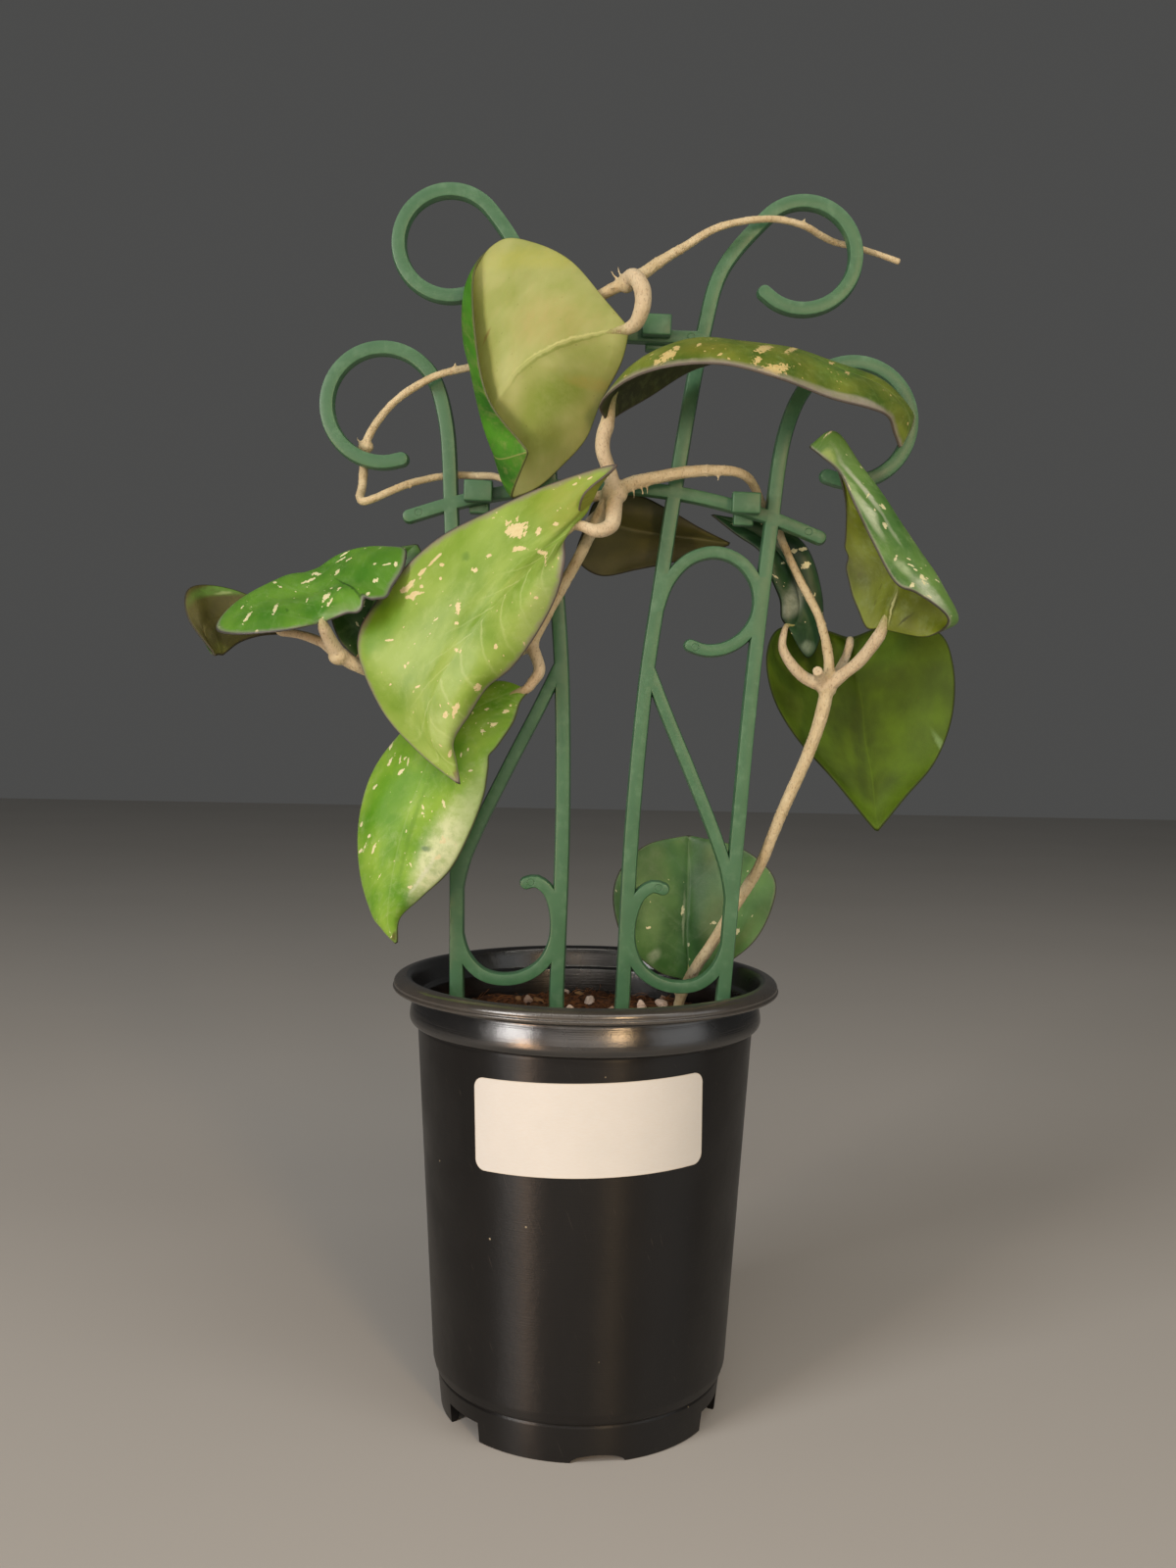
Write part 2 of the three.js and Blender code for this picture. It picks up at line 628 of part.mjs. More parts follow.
// Leaves. Each blade is lofted over rows that run from its stalk to its tip. A row is the rim on one side,
// the midrib and the rim on the other; rows of five also fix the middle of each half, where the blade rolls,
// and rows of four fix it on the second side only. The arch lifts the middle of the other halves.
const LEAVES = {
  leaf_top: {
    arch: [0, -3, 1],
    rows: [
      [[8.4, -13.2, 308.2]],
      [[2, -13, 316], [0, -15, 306], [6.6, -11, 299]],
      [[-8, -9, 328], [-9, -17, 303], [1, -6, 289]],
      [[-19, -6, 334], [-19, -19, 297], [-3, -5, 279]],
      [[-28, -7, 334], [-25, -19, 290], [-10, -5, 271]],
      [[-34.4, -14, 323], [-37, -10, 312], [-29, -15, 283], [-21, -10, 272], [-16, -7, 265]],
      [[-33.2, -20, 302], [-35, -13.4, 297], [-28.6, -15.4, 278], [-26, -11, 269], [-21, -10, 262]],
      [[-29, -22, 285.5], [-30.6, -17.4, 283], [-27.2, -15.4, 271.6], [-25, -13, 266], [-23, -13, 262]],
      [[-18.4, -22.8, 272]],
    ],
  },
  leaf_front: {
    arch: [-0.5, -3.5, 1],
    rows: [
      [[-5.2, -15.6, 253.8]],
      [[-3, -23, 261], [1, -17, 262], [-11, -18, 248], [-9.5, -18, 249], [-8, -16.4, 250]],
      [[6, -18, 270], [-2, -18, 263], [-16, -21, 241], [-12, -20, 242], [-8, -16, 243]],
      [[-12, -15, 265], [-22, -24, 232], [-10, -16, 234]],
      [[-29, -16, 257], [-28, -25, 223], [-15, -15, 224]],
      [[-46, -12, 248], [-33, -26, 213], [-22, -14, 214]],
      [[-61, -11, 232], [-37, -25, 204], [-29, -14, 208]],
      [[-66, -13, 219], [-39, -24, 197], [-34, -15, 200]],
      [[-59, -16, 202], [-39, -23, 190], [-38, -17, 193]],
      [[-48, -20, 190], [-37, -22, 185], [-37, -20, 187]],
      [[-36, -22, 181]],
    ],
  },
  leaf_lower_left: {
    arch: [-0.5, -3, 0.5],
    rows: [
      [[-18.4, -9.4, 207.6]],
      [[-28, -5, 210], [-23, -8.6, 206], [-20, -9, 204]],
      [[-44, -4, 205], [-30, -10, 199], [-22, -9, 198]],
      [[-56, -4, 193], [-36, -13, 189], [-28, -9, 188]],
      [[-63, -5, 182], [-41, -15, 180], [-30, -9, 177]],
      [[-66, -7, 168], [-46, -16, 170], [-34, -9, 166]],
      [[-65, -9, 154], [-50, -17, 160], [-40, -10, 156]],
      [[-61, -12, 143], [-53, -17, 148], [-48, -12, 148]],
      [[-54, -14, 137]],
    ],
  },
  leaf_left: {
    arch: [0, -1, 3],
    rows: [
      [[-74.6, -19.6, 224.8]],
      [[-84, -24, 222], [-76, -17, 227], [-68, -22, 227]],
      [[-99, -20, 221], [-78, -12, 231], [-59, -22, 232]],
      [[-106, -12, 223.4], [-80, -7, 232.6], [-55, -18, 236]],
      [[-103, -4, 230.4], [-82, -3, 235], [-53, -13, 242.5]],
      [[-94, 2, 236.6], [-82, 1, 238.4], [-58, -4, 247.6]],
      [[-88, 5, 238.8], [-82, 4, 240.4], [-70, 1, 247]],
      [[-82, 7, 240.6]],
    ],
  },
  leaf_far_left: {
    arch: [0, 1, 2],
    rows: [
      [[-91.8, 4, 223.6]],
      [[-95, 8, 231], [-98, 5, 226], [-97, 2, 222]],
      [[-106, 10, 236], [-106, 5, 227], [-102, 0, 220]],
      [[-115, 6, 237], [-111, 2, 226], [-105, -3, 217]],
      [[-118, 0, 234], [-112, -2, 224], [-106, -4, 216]],
      [[-116, -4, 226], [-111, -4, 220], [-107, -5, 216]],
      [[-108, -6, 216]],
    ],
  },
  leaf_back_left: {
    arch: [0, -1.5, 0.5],
    rows: [
      [[-68.8, 8.4, 216.4]],
      [[-75, 8, 222], [-68, 11, 224], [-60, 9, 221]],
      [[-78, 10, 232], [-66, 14, 232], [-52, 12, 227]],
      [[-74, 12, 241], [-63, 15, 240], [-48, 13, 236]],
      [[-65, 14, 248], [-59, 15, 246], [-49, 13, 244]],
      [[-53, 14, 251]],
    ],
  },
  leaf_arching: {
    arch: [0, -1, 2],
    rows: [
      [[3.2, -11.4, 283]],
      [[1, -19, 286], [5, -13, 291], [7, -8, 286]],
      [[8, -29, 290], [11, -19, 298], [15, -7, 291]],
      [[19, -37, 292], [24, -22, 303], [27, -5.4, 299]],
      [[33, -40, 292], [37, -23, 302.6], [40, -5, 302.4]],
      [[48, -38, 289], [51, -22, 301.2], [53, -5, 301.8]],
      [[62, -31, 286], [65, -18, 297.4], [68, -5, 299]],
      [[74, -24, 285], [78, -13, 294], [81, -5, 296]],
      [[80, -19, 284], [86, -11, 288], [89, -5, 289]],
      [[83, -13, 281], [88, -9, 284], [90, -6, 285]],
      [[86, -8, 278]],
    ],
  },
  leaf_right: {
    arch: [-0.5, 2, 0],
    rows: [
      [[83.6, -2, 227]],
      [[79, 0, 228], [85, -4, 233], [97, -8, 225]],
      [[76, 3, 238], [87, -5, 239], [104, -8, 231], [101, -15, 229]],
      [[73, 4, 247], [86, -4, 245], [99, -8, 241], [93, -18, 234]],
      [[73, 2, 255], [82, -3, 252], [92, -8, 249], [84, -19, 238]],
      [[72, -2.6, 263], [78, -5, 260], [86, -8, 257], [78, -18, 248]],
      [[70, -4.8, 270], [74, -6, 267], [81, -9, 265], [72, -17, 260]],
      [[68, -5.6, 274], [70, -7, 273], [75, -10, 273], [68, -15, 269]],
      [[63, -7, 278], [66, -7, 278], [68, -11, 281], [63, -13, 274]],
      [[60, -11, 277]],
    ],
  },
  leaf_back_right: {
    arch: [0, 2, 0],
    rows: [
      [[77, 12.4, 225.4]],
      [[68, 14, 228], [79, 15, 221], [88, 14, 229]],
      [[56, 12, 228], [80, 16, 214], [103, 13, 228]],
      [[52, 11, 220], [82, 17, 205], [108, 12, 218]],
      [[54, 11, 208], [83, 17, 195], [108, 11, 203]],
      [[61, 11, 196], [85, 16, 185], [103, 10, 189]],
      [[73, 11, 183], [86, 14, 175], [94, 9, 178]],
      [[86, 10, 168]],
    ],
  },
  leaf_dark: {
    arch: [0, -1, 0],
    rows: [
      [[57, 6.6, 228.4]],
      [[55.5, 7.4, 231], [60, 8, 229], [64, 9, 219]],
      [[55, 7.6, 236], [61, 10, 235], [68, 10.4, 226]],
      [[52, 8.4, 243], [59, 11, 243], [68, 10, 238]],
      [[49, 9, 250], [55, 11, 250], [63, 10, 252]],
      [[42, 10, 255], [47, 12, 256], [53, 11, 258]],
      [[35, 11, 261]],
    ],
  },
  leaf_centre_back: {
    arch: [0, 1.5, 0],
    rows: [
      [[-2.4, 3.8, 257]],
      [[1, 6, 264], [3, 5, 257], [-5, 6, 247]],
      [[12, 8, 266], [13, 6, 255], [2, 8, 242]],
      [[22, 9, 262], [22, 7, 254], [13, 8, 244]],
      [[31, 9, 257], [31, 7, 253], [26, 8, 247]],
      [[40, 8, 252]],
    ],
  },
  leaf_soil: {
    arch: [0, -2, 0],
    rows: [
      [[32, 27.8, 119]],
      [[22, 26, 122], [32, 28.4, 125], [39, 24, 122]],
      [[12, 25, 131], [31.5, 28.4, 134], [51, 20, 132]],
      [[8, 26, 143], [31.5, 29, 143], [57, 20, 144]],
      [[10, 27, 153], [31.5, 30, 151], [57, 22, 153]],
      [[18, 28, 161], [31.5, 31, 158], [47, 25, 161]],
      [[31.5, 31, 164]],
    ],
  },
};

function leafColumns({ rows, arch }) {
  const last = rows.length - 1;
  const lift = vec(arch);
  const full = rows.map((row, i) => {
    if (row.length === 1) {
      return row;
    }
    const points = row.map(vec);
    const rim = [points[0], points.at(-1)];
    const rib = row.length === 5 ? points[2] : points[1];
    const share = Math.sin((Math.PI * i) / last);
    const middle = (edge) => rib.clone().add(edge).multiplyScalar(0.5).addScaledVector(lift, share);
    const midA = row.length === 5 ? points[1] : middle(rim[0]);
    const midB = row.length >= 4 ? points.at(-2) : middle(rim[1]);
    return [rim[0], midA, rib, midB, rim[1]];
  });
  for (const [end, next, width] of [[0, 1, 1.1], [last, last - 1, 0.5]]) {
    const across = full[next][4].clone().sub(full[next][0]).normalize();
    const point = vec(rows[end][0]);
    full[end] = [-1, -0.5, 0, 0.5, 1].map((k) => point.clone().addScaledVector(across, k * width));
  }
  return [0, 1, 2, 3, 4].map(
    (c) => new THREE.CatmullRomCurve3(full.map((row) => row[c]), false, "catmullrom", 0.5),
  );
}

function leafPoint(columns, u, v) {
  const rib = columns[2].getPoint(u);
  if (v === 0) {
    return rib;
  }
  const middle = columns[v < 0 ? 1 : 3].getPoint(u);
  const rim = columns[v < 0 ? 0 : 4].getPoint(u);
  const s = Math.abs(v);
  return rib
    .multiplyScalar(2 * (s - 0.5) * (s - 1))
    .addScaledVector(middle, 4 * s * (1 - s))
    .addScaledVector(rim, 2 * s * (s - 0.5));
}

function makeLeaf(spec) {
  const columns = leafColumns(spec);
  const rolled = spec.rows.some((row) => row.length > 3);
  const across = rolled ? ROLLED_CELLS : PLAIN_CELLS;
  const along = Math.max(11, Math.round(1.6 * (spec.rows.length - 1)));
  const upper = [];
  const lower = [];
  for (let i = 0; i <= along; i += 1) {
    const u = i / along;
    const front = [];
    const back = [];
    for (let j = -across; j <= across; j += 1) {
      const v = j / across;
      const step = 0.02;
      const u0 = Math.max(0, u - step);
      const u1 = Math.min(1, u + step);
      const v0 = Math.max(-1, v - 0.12);
      const v1 = Math.min(1, v + 0.12);
      const du = leafPoint(columns, u1, v).sub(leafPoint(columns, u0, v));
      const dv = leafPoint(columns, u, v1).sub(leafPoint(columns, u, v0));
      const normal = du.cross(dv).normalize();
      const half = THREE.MathUtils.lerp(BLADE_RIB, BLADE_MARGIN, Math.abs(v)) / 2;
      const p = leafPoint(columns, u, v);
      front.push(p.clone().addScaledVector(normal, half));
      back.push(p.clone().addScaledVector(normal, -half));
    }
    upper.push(front);
    lower.push(back);
  }
  return plate(upper, lower);
}

// Soil: a plug that fills the pot, with an uneven top, bark chips and white grains, and plain holes
function soilHeight(x, y) {
  const waves = Math.sin(0.21 * x + 1.3) * Math.cos(0.17 * y + 0.4) + 0.6 * Math.sin(0.43 * x - 0.31 * y);
  return SOIL_TOP + 0.9 * waves;
}

function soilPlug() {
  const positions = [];
  const index = [];
  const gap = CONTACT_GAP + 0.1;
  const topRadius = wallRadius(SOIL_TOP - 3) - WALL - gap;
  positions.push(0, 0, soilHeight(0, 0));
  const rings = [];
  for (let i = 1; i <= SOIL_RINGS; i += 1) {
    const radius = (topRadius * i) / SOIL_RINGS;
    rings.push((x, y) => [radius * x, radius * y, i === SOIL_RINGS ? SOIL_TOP - 2 : soilHeight(radius * x, radius * y)]);
  }
  const bottom = FLOOR_Z + FLOOR_THICKNESS + CONTACT_GAP;
  for (const [radius, z] of [
    [wallRadius(WALL_LOW_Z) - WALL - gap, WALL_LOW_Z],
    [wallRadius(WALL_LOW_Z) - WALL - gap - 1.2, bottom + 2.2],
    [wallRadius(WALL_LOW_Z) - WALL - gap - 3.4, bottom],
  ]) {
    rings.push((x, y) => [radius * x, radius * y, z]);
  }
  for (const ring of rings) {
    for (let j = 0; j < SOIL_SIDES; j += 1) {
      const angle = (2 * Math.PI * j) / SOIL_SIDES;
      positions.push(...ring(Math.cos(angle), Math.sin(angle)));
    }
  }
  positions.push(0, 0, bottom);
  const at = (i, j) => 1 + i * SOIL_SIDES + (j % SOIL_SIDES);
  const lastPoint = positions.length / 3 - 1;
  for (let j = 0; j < SOIL_SIDES; j += 1) {
    index.push(0, at(0, j), at(0, j + 1));
    index.push(lastPoint, at(rings.length - 1, j + 1), at(rings.length - 1, j));
    for (let i = 0; i < rings.length - 1; i += 1) {
      index.push(at(i, j), at(i + 1, j), at(i + 1, j + 1));
      index.push(at(i, j), at(i + 1, j + 1), at(i, j + 1));
    }
  }
  return solid(closedGeometry(positions, index));
}

// Loose pieces keep clear of the legs and of the stem
const KEEP_CLEAR = [
  [-38, 0],
  [-8.5, 0],
  [11, 0],
  [40, 0],
  [28.5, 23],
];

function scatterSpot(inner, outer, clear) {
  for (;;) {
    const angle = 2 * Math.PI * random();
    const radius = Math.sqrt(THREE.MathUtils.lerp(inner ** 2, outer ** 2, random()));
    const x = radius * Math.cos(angle);
    const y = radius * Math.sin(angle);
    if (KEEP_CLEAR.every(([cx, cy]) => Math.hypot(x - cx, y - cy) > clear)) {
      return [x, y];
    }
  }
}

function makeSoil() {
  let soil = soilPlug();
  for (let k = 0; k < CHIP_COUNT; k += 1) {
    const [x, y] = scatterSpot(4, 36, 9);
    const chip = new THREE.BoxGeometry(4 + 5 * random(), 3 + 3 * random(), 1.8 + 1.4 * random());
    chip.rotateX(0.7 * (random() - 0.5));
    chip.rotateY(0.7 * (random() - 0.5));
    chip.rotateZ(Math.PI * random());
    soil = soil.add(solid(chip.translate(x, y, soilHeight(x, y) + 0.3)));
  }
  for (let k = 0; k < PERLITE_COUNT; k += 1) {
    const [x, y] = scatterSpot(4, 37, 6);
    const grain = new THREE.IcosahedronGeometry(1.2 + 1.1 * random(), 0);
    grain.scale(1, 1, 0.8);
    grain.rotateZ(Math.PI * random());
    soil = soil.add(solid(grain.translate(x, y, soilHeight(x, y) + 0.3)));
  }
  const stem = STEMS[0].path.slice(0, 4);
  soil = soil.subtract(legHoles());
  soil = soil.subtract(rod([[28, 24, 96.5], ...stem.slice(1)], [2.4, 2.4], 8));
  return geometryOf(soil);
}

const group = new THREE.Group();
group.name = "potted_wax_plant";

function addNode(name, geometry, color, roughness) {
  const material = new THREE.MeshStandardMaterial({ color, roughness, metalness: 0 });
  const mesh = new THREE.Mesh(geometry, material);
  mesh.name = name;
  group.add(mesh);
}

addNode("pot", makePot(), 0x1c1a19, 0.4);
addNode("label", makeLabel(), 0xe9e2d4, 0.6);
addNode("soil", makeSoil(), 0x4a3222, 0.95);
addNode("trellis", makeTrellis(), 0x4d7a5c, 0.5);
addNode("vine", geometryOf(vineBody()), 0xc4ae8b, 0.7);

const LEAF_COLORS = {
  leaf_top: 0xa9b06a,
  leaf_left: 0x6f8f3f,
  leaf_far_left: 0x66683a,
  leaf_back_left: 0x59722f,
  leaf_arching: 0x8da04b,
  leaf_dark: 0x2f4a2c,
  leaf_centre_back: 0x55572f,
  leaf_soil: 0x5c7a4e,
};
for (const [name, spec] of Object.entries(LEAVES)) {
  addNode(name, makeLeaf(spec), LEAF_COLORS[name] ?? 0x86a045, 0.45);
}

group.position.set(-CENTRE[0], -CENTRE[1], 0);

export default group;
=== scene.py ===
import json
import math
from functools import cache, partial

import bmesh
import bpy
import numpy as np
from mathutils import Matrix, Vector, kdtree, noise

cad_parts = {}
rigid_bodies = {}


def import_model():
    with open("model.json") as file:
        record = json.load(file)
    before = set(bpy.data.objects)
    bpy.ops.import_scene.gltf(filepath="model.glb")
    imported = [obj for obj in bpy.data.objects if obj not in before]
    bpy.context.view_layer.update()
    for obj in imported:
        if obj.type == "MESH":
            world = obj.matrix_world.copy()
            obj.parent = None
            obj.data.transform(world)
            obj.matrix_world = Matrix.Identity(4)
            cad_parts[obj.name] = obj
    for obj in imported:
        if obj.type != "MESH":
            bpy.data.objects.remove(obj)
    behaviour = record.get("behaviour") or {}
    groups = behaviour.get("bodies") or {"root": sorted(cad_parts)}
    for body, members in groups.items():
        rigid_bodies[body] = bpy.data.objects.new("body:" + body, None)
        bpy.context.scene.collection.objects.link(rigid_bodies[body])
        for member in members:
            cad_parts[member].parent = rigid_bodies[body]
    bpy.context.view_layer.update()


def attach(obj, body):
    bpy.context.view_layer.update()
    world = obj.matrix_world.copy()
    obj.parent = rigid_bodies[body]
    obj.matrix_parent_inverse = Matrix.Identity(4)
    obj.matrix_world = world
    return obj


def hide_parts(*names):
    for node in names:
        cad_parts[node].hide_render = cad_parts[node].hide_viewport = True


# Potted climbing wax plant on a fan trellis. Lengths below are in millimetres about the pot's axis, as in
# the part's own source; every mesh is turned to metres, and moved to the part's frame, as it is made.
MM = 0.001
POT_AXIS_X = 4.5

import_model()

# Camera: level with the middle of the trellis, close in front, turned down and rolled a little
CAMERA_AT = (4.1, -413.5, 197.4)
CAMERA_PITCH = math.radians(2.30)
CAMERA_ROLL = math.radians(1.07)
LENS_MM = 32.625
SENSOR_MM = 36

camera_data = bpy.data.cameras.new("camera")
camera_data.lens = LENS_MM
camera_data.sensor_width = SENSOR_MM
camera_data.clip_start = 0.01
camera = bpy.data.objects.new("camera", camera_data)
look = Matrix.Rotation(math.pi / 2 - CAMERA_PITCH, 4, "X") @ Matrix.Rotation(CAMERA_ROLL, 4, "Z")
camera.matrix_world = Matrix.Translation(Vector(CAMERA_AT) * MM) @ look
bpy.context.scene.collection.objects.link(camera)
bpy.context.scene.camera = camera


# Small tools for points, meshes and curves
def through(points, t, even=True):
    """Places at t, from 0 to 1, on a smooth curve through the points."""
    p = np.asarray(points, float)
    padded = np.vstack([2 * p[0] - p[1], p, 2 * p[-1] - p[-2]])
    s = np.clip(np.asarray(t, float), 0, 1) * (len(p) - 1)
    k = np.minimum(s.astype(int), len(p) - 2)
    w = (s - k)[:, None]
    p0, p1, p2, p3 = (padded[k + i] for i in range(4))
    if even:
        pairs = ((p0, p1), (p1, p2), (p2, p3))
        spans = [np.linalg.norm(b - a, axis=1)[:, None] ** 0.5 for a, b in pairs]
        d0, d1, d2 = (np.maximum(d, 1e-4) for d in spans)
        m1 = ((p1 - p0) / d0 - (p2 - p0) / (d0 + d1) + (p2 - p1) / d1) * d1
        m2 = ((p2 - p1) / d1 - (p3 - p1) / (d1 + d2) + (p3 - p2) / d2) * d1
    else:
        m1 = (p2 - p0) / 2
        m2 = (p3 - p1) / 2
    bend = 3 * (p2 - p1) - 2 * m1 - m2
    twist = 2 * (p1 - p2) + m1 + m2
    return p1 + m1 * w + bend * w**2 + twist * w**3


def run_along(points, step, even=True):
    """Points a fixed step apart on the smooth curve, and how far along each one is."""
    fine = through(points, np.linspace(0, 1, 40 * len(points)), even)
    lengths = np.concatenate([[0], np.cumsum(np.linalg.norm(np.diff(fine, axis=0), axis=1))])
    count = max(2, int(round(lengths[-1] / step)))
    at = np.linspace(0, lengths[-1], count + 1)
    return np.stack([np.interp(at, lengths, fine[:, i]) for i in range(3)], 1), at


def make_piece(name, points, faces):
    """A mesh object from points in millimetres about the pot's axis."""
    mesh = bpy.data.meshes.new(name)
    placed = (np.asarray(points, float) + (POT_AXIS_X, 0, 0)) * MM
    mesh.from_pydata(placed.tolist(), [], faces)
    piece = bpy.data.objects.new(name, mesh)
    bpy.context.scene.collection.objects.link(piece)
    return piece


def close_up(piece, gap=1e-7):
    """Merges doubled points, drops faces with no area and turns the faces outwards."""
    work = bmesh.new()
    work.from_mesh(piece.data)
    bmesh.ops.remove_doubles(work, verts=work.verts, dist=gap)
    bmesh.ops.dissolve_degenerate(work, edges=work.edges, dist=gap)
    bmesh.ops.recalc_face_normals(work, faces=work.faces)
    work.to_mesh(piece.data)
    work.free()


def bake_modifiers(piece):
    """Turns the piece with its modifiers into one plain mesh."""
    bpy.context.view_layer.update()
    evaluated = piece.evaluated_get(bpy.context.evaluated_depsgraph_get())
    mesh = bpy.data.meshes.new_from_object(evaluated)
    old = piece.data
    if piece.type == "MESH":
        piece.modifiers.clear()
        piece.data = mesh
        bpy.data.meshes.remove(old)
        return piece
    name = piece.name
    bpy.data.objects.remove(piece)
    solid = bpy.data.objects.new(name, mesh)
    bpy.context.scene.collection.objects.link(solid)
    return solid


def shade(piece, crease_degrees=40):
    """Smooth shading that keeps the real edges."""
    piece.data.shade_smooth()
    piece.data.set_sharp_from_angle(angle=math.radians(crease_degrees))


def settle(piece, node, material=None):
    """Gives a finished piece its material, its place in the table and the node that it stands for."""
    if material is not None:
        piece.data.materials.clear()
        piece.data.materials.append(material)
    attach(piece, "root")
    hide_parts(node)


def combine(piece, others, operation):
    """Joins the others to the piece, or cuts them from it, in one Boolean, and removes them."""
    group = bpy.data.collections.new("cutters")
    bpy.context.scene.collection.children.link(group)
    for other in others:
        bpy.context.scene.collection.objects.unlink(other)
        group.objects.link(other)
    modifier = piece.modifiers.new("combine", "BOOLEAN")
    modifier.operation = operation
    modifier.operand_type = "COLLECTION"
    modifier.collection = group
    modifier.solver = "MANIFOLD"
    bake_modifiers(piece)
    for other in list(group.objects):
        mesh = other.data
        bpy.data.objects.remove(other)
        bpy.data.meshes.remove(mesh)
    bpy.data.collections.remove(group)


def store(piece, name, values):
    """Keeps a value for each point of the mesh: a number, or a vector of three."""
    values = np.asarray(values, float)
    kind, field = ("FLOAT", "value") if values.ndim == 1 else ("FLOAT_VECTOR", "vector")
    attribute = piece.data.attributes.new(name, kind, "POINT")
    attribute.data.foreach_set(field, values.ravel())


def points_of(piece):
    """The mesh's points and normals, points in millimetres about the pot's axis."""
    mesh = piece.data
    places = np.empty(len(mesh.vertices) * 3)
    mesh.vertices.foreach_get("co", places)
    normals = np.empty(len(mesh.vertices) * 3)
    mesh.vertex_normals.foreach_get("vector", normals)
    return places.reshape(-1, 3) / MM - (POT_AXIS_X, 0, 0), normals.reshape(-1, 3)


def move_points(piece, points):
    placed = (points + (POT_AXIS_X, 0, 0)) * MM
    piece.data.vertices.foreach_set("co", placed.ravel())
    piece.data.update()


# Materials: one function for colours and one for nodes
def linear(hex_colour):
    """An sRGB hex colour as the linear colour that the shader reads."""
    parts = [int(hex_colour[i : i + 2], 16) / 255 for i in (1, 3, 5)]
    return tuple(c / 12.92 if c <= 0.04045 else ((c + 0.055) / 1.055) ** 2.4 for c in parts) + (1.0,)


def add_node(tree, kind, **values):
    """Adds a node; a shader node's kind goes without its prefix. Each value named as one of the node's own
    settings sets that. Any other goes to the input of that name, or of the number after an i, and is a
    plain value, a socket, or a node, which stands for the first output that it uses."""
    node = tree.nodes.new(kind if "Node" in kind else "ShaderNode" + kind)
    for key, value in values.items():
        if key in node.bl_rna.properties:
            setattr(node, key, value)
            continue
        socket = node.inputs[int(key[1:]) if key[1:].isdigit() else key.replace("_", " ")]
        if isinstance(value, bpy.types.Node):
            value = next(output for output in value.outputs if output.enabled)
        if isinstance(value, bpy.types.NodeSocket):
            tree.links.new(value, socket)
        else:
            is_colour = isinstance(value, str) and value[0] == "#"
            socket.default_value = linear(value) if is_colour else value
    return node


def blank(name):
    """A material with an empty tree, and what adds a node to it."""
    material = bpy.data.materials.new(name)
    material.use_nodes = True
    material.node_tree.nodes.clear()
    return material, partial(add_node, material.node_tree)


def millimetres(add):
    """Places on the piece in millimetres about the pot's axis."""
    place = add("TexCoord").outputs["Object"]
    return add("Mapping", Vector=place, Location=(-POT_AXIS_X, 0, 0), Scale=(1000, 1000, 1000))


def black_polypropylene(part, shades, roughness, specular, ior, turning):
    """Thin-walled nursery pot: black polypropylene, moulded semi-matt. The eye gets a soft sheen with faint
    upright flow marks, hairline scuffs and a little potting dust. Turning marks draw the highlights on the
    wall out upright. The shoulder is smoother. The rim's lighter grey is partly rubbed by handling and
    partly a painted highlight on the lip."""
    material, add = blank("black polypropylene, moulded, " + part)
    place = millimetres(add)
    # flow marks run up the wall, some 6 mm wide
    upright = add("VectorMath", operation="MULTIPLY", i0=place, i1=(0.16, 0.16, 0.02))
    flow = add("TexNoise", Vector=upright, Scale=1.0, Detail=3.0)
    base = add("Mix", data_type="RGBA", i0=flow, i6=shades[0], i7=shades[1])
    # hairline scuffs, 0.2 mm wide and 10 mm or so long
    slant = add("VectorRotate", rotation_type="Y_AXIS", Vector=place, Angle=0.35)
    hair = add("VectorMath", operation="MULTIPLY", i0=slant, i1=(2.4, 0.8, 0.07))
    scuff = add("TexNoise", Vector=hair, Scale=1.0, Detail=1.0)
    scuffed = add("MapRange", Value=scuff, From_Min=0.72, From_Max=0.8, To_Max=0.25)
    marked = add("Mix", data_type="RGBA", i0=scuffed, i6=base, i7="#575048")
    # dust: grains 0.3 mm across, one in thirty cells of 5 mm
    cells = add("TexVoronoi", Vector=place, Scale=0.2, Randomness=1.0)
    grain = add("MapRange", Value=cells, From_Min=0.075, From_Max=0.05)
    pick = add("SeparateColor", Color=cells.outputs["Color"])
    chosen = add("Math", operation="LESS_THAN", i0=pick, i1=0.16)
    dust = add("Math", operation="MULTIPLY", i0=grain, i1=chosen)
    colour = add("Mix", data_type="RGBA", i0=dust, i6=marked, i7="#9c9079")
    cloud = add("TexNoise", Vector=place, Scale=0.07, Detail=4.0)
    gloss = add(
        "MapRange", Value=cloud, From_Min=0.3, From_Max=0.7, To_Min=roughness, To_Max=roughness + 0.09
    )
    dusty = add("Mix", data_type="FLOAT", i0=dust, i2=gloss, i3=0.95)
    # orange peel 2.5 mm wide and fine turning lines 0.3 mm apart, which draw the highlights out upright
    peel = add("TexNoise", Vector=place, Scale=0.4, Detail=2.0)
    level = add("VectorMath", operation="MULTIPLY", i0=place, i1=(0.05, 0.05, 3.2))
    lines = add("TexNoise", Vector=level, Scale=1.0, Detail=2.0)
    grit = add("TexNoise", Vector=place, Scale=2.5, Detail=2.0)
    ridged = add("Bump", Height=lines, Strength=0.3, Distance=0.0001)
    first = add("Bump", Height=peel, Strength=0.1, Distance=0.0004, Normal=ridged)
    second = add("Bump", Height=grit, Strength=0.18, Distance=0.0001, Normal=first)
    skin = add(
        "BsdfPrincipled", Base_Color=colour, Roughness=dusty, Normal=second, IOR=ior,
        Specular_IOR_Level=specular, Anisotropic=turning, Anisotropic_Rotation=0.25,
    )
    add("OutputMaterial", Surface=skin)
    return material


